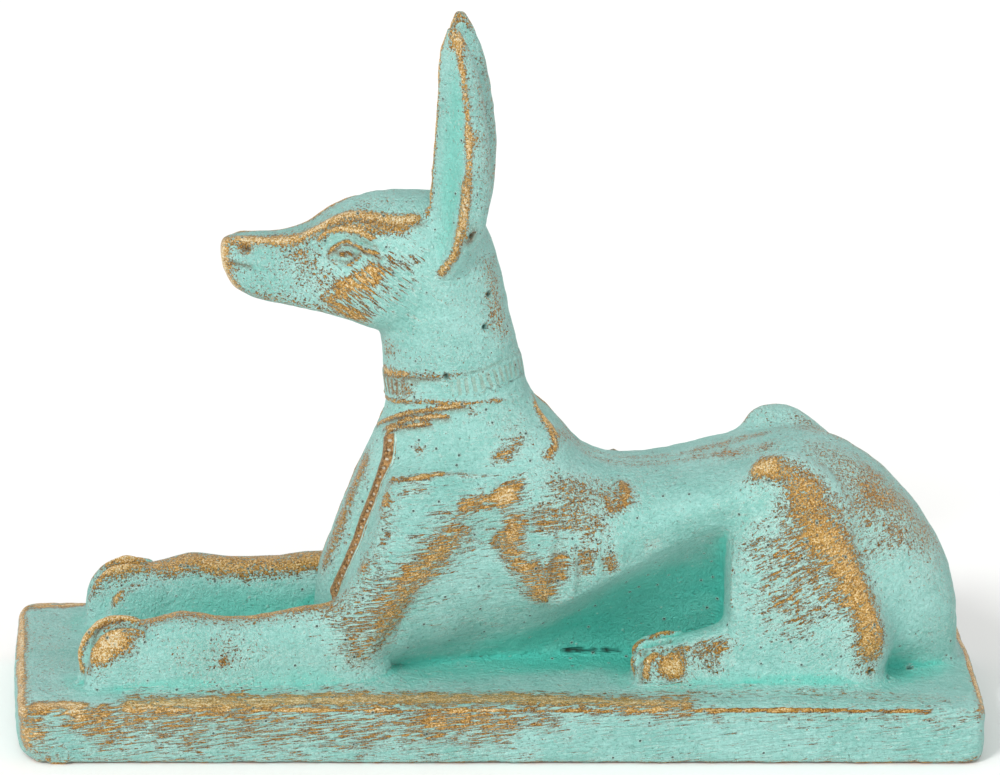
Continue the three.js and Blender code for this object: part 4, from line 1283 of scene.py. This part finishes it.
# the collar's looped ticks, 0.68 mm apart, with brown left between them in front and a little of it behind
HALF_TICK_STEP = 0.34
tick = add("Math", [kept["collar_run"], HALF_TICK_STEP], operation="PINGPONG")
tick = add("MapRange", [tick, 0.12, 0.2])
above_foot = add("MapRange", [kept["collar_drop"], 2, 1.8])
below_top = add("MapRange", [kept["collar_drop"], 0.3, 0.5])
in_row = add("Math", [above_foot, below_top], operation="MULTIPLY")
in_front = add("MapRange", [kept["collar_run"], 5, 3.4])
behind = add("MapRange", [kept["collar_run"], 8.4, 9.4, 0, 0.35])
seen = add("Math", [in_front, behind], operation="ADD")
in_row = add("Math", [in_row, seen], operation="MULTIPLY")
between = add("Math", [1.0, tick], operation="SUBTRACT")
between = add("Math", [between, in_row], operation="MULTIPLY")
between = add("Math", [between, 0.75], operation="MULTIPLY")

# the coats, the painted shade and the painted highlights one over the other, each with the share that covers
# what lies below it
colour = linear("#86C8BC")
for covers, tone in (
    (cloud, linear("#ACE2D9")),
    (teal_share, teal),
    (thin_film, linear("#C2AE78")),
    (painted_edge_highlight, linear("#D0F0E6")),
    (shaded_pore, linear("#5E8A6C")),
    (bronze_shows, bronze),
    (crater_rim_highlight, linear("#D2F0E6")),
    (shaded_pit, linear("#2C4238")),
    (left_brown, linear("#7A5426")),
    (on_sash, braid),
    (bead, linear("#F2F0DC")),
    (sash_edge_highlight, linear("#D4F2E8")),
    (between, linear("#A67B48")),
):
    colour = add("Mix", {0: covers, 6: colour, 7: tone}, out=2, data_type="RGBA")

# the green film stands proud of the bronze, and brush marks, mottling, beads and pits raise or sink it, in
# shares of the bump's step. The step is larger than the film is thick, so that its torn edges show.
STEP = 0.0006
height = add("Math", [bronze_shows, -0.5, 0.5], operation="MULTIPLY_ADD")
for relief, share in (
    (even_grain, 0.2),
    (noise["brushed"], 0.7),
    (noise["mottle"], 0.5),
    (bead, 0.5),
    (between, -0.5),
    (shaded_pit, -1),
    (crater_rim_highlight, 0.3),
    (shaded_pore, -0.6),
):
    height = add("Math", [relief, share, height], operation="MULTIPLY_ADD")
finish = {
    "Base Color": colour,
    "Roughness": add("MapRange", {"Value": bronze_shows, "To Min": 0.5, "To Max": 0.34}),
    "Metallic": add("Math", [bronze_shows, 0.3], operation="MULTIPLY"),
    "Normal": add("Bump", {"Height": height, "Strength": 1, "Distance": STEP}),
}
for socket, value in finish.items():
    paint.node_tree.links.new(value, paint.node_tree.nodes["Principled BSDF"].inputs[socket])
cast.materials.append(paint)
cast.shade_smooth()

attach(jackal, "root")
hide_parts("jackal_figure")

# Floor, light and camera
# A pale sweep under the piece, a soft light from the upper left, a white card in front and a white
# surround, as in a product photo. The camera stands where the plinth's corners, fitted to a pinhole camera,
# put it.

floor_mesh = bpy.data.meshes.new("floor")
floor_mesh.from_pydata([(-3, -3, 0), (3, -3, 0), (3, 3, 0), (-3, 3, 0)], [], [(0, 1, 2, 3)])
floor = placed("floor", floor_mesh)
paper = bpy.data.materials.new("matt_white_paper")
paper.use_nodes = True
paper.node_tree.nodes["Principled BSDF"].inputs["Base Color"].default_value = linear("#FCFCFA")
paper.node_tree.nodes["Principled BSDF"].inputs["Roughness"].default_value = 0.9
floor_mesh.materials.append(paper)

surround = bpy.data.worlds.new("white_surround")
surround.use_nodes = True
surround.node_tree.nodes["Background"].inputs["Color"].default_value = (1, 1, 1, 1)
surround.node_tree.nodes["Background"].inputs["Strength"].default_value = 0.73
bpy.context.scene.world = surround

# each light's name, strength, width in degrees and the way that it shines
for name, strength, spread, shines in (
    ("softbox", 1.85, 14, (0.46, 0.68, -0.57)),
    ("front_card", 1.5, 60, (-0.15, 1, 0.04)),
):
    sun = bpy.data.lights.new(name, "SUN")
    sun.energy = strength
    sun.angle = radians(spread)
    placed(name, sun).rotation_euler = Vector(shines).to_track_quat("-Z", "Y").to_euler()

AZIMUTH, ELEVATION, ROLL = radians(-3.456), radians(16), radians(1.136)
DISTANCE = 0.7394
SENSOR = 36
LENS_SHARE = 7.882  # focal length as a share of the picture's width
TARGET = Vector((-0.000057, 0, 0.031833))
back = Vector((sin(AZIMUTH) * cos(ELEVATION), -cos(AZIMUTH) * cos(ELEVATION), sin(ELEVATION)))
level = Vector((cos(AZIMUTH), sin(AZIMUTH), 0))
upright = back.cross(level)
right = level * cos(ROLL) + upright * sin(ROLL)
above = upright * cos(ROLL) - level * sin(ROLL)
camera = placed("camera", bpy.data.cameras.new("camera"))
camera.data.sensor_width = SENSOR
camera.data.lens = SENSOR * LENS_SHARE
camera.data.clip_start, camera.data.clip_end = 0.01, 20
turned = Matrix((right, above, back)).transposed().to_4x4()
camera.matrix_world = Matrix.Translation(TARGET + back * DISTANCE) @ turned
bpy.context.scene.camera = camera
bpy.context.scene.view_settings.view_transform = "Standard"
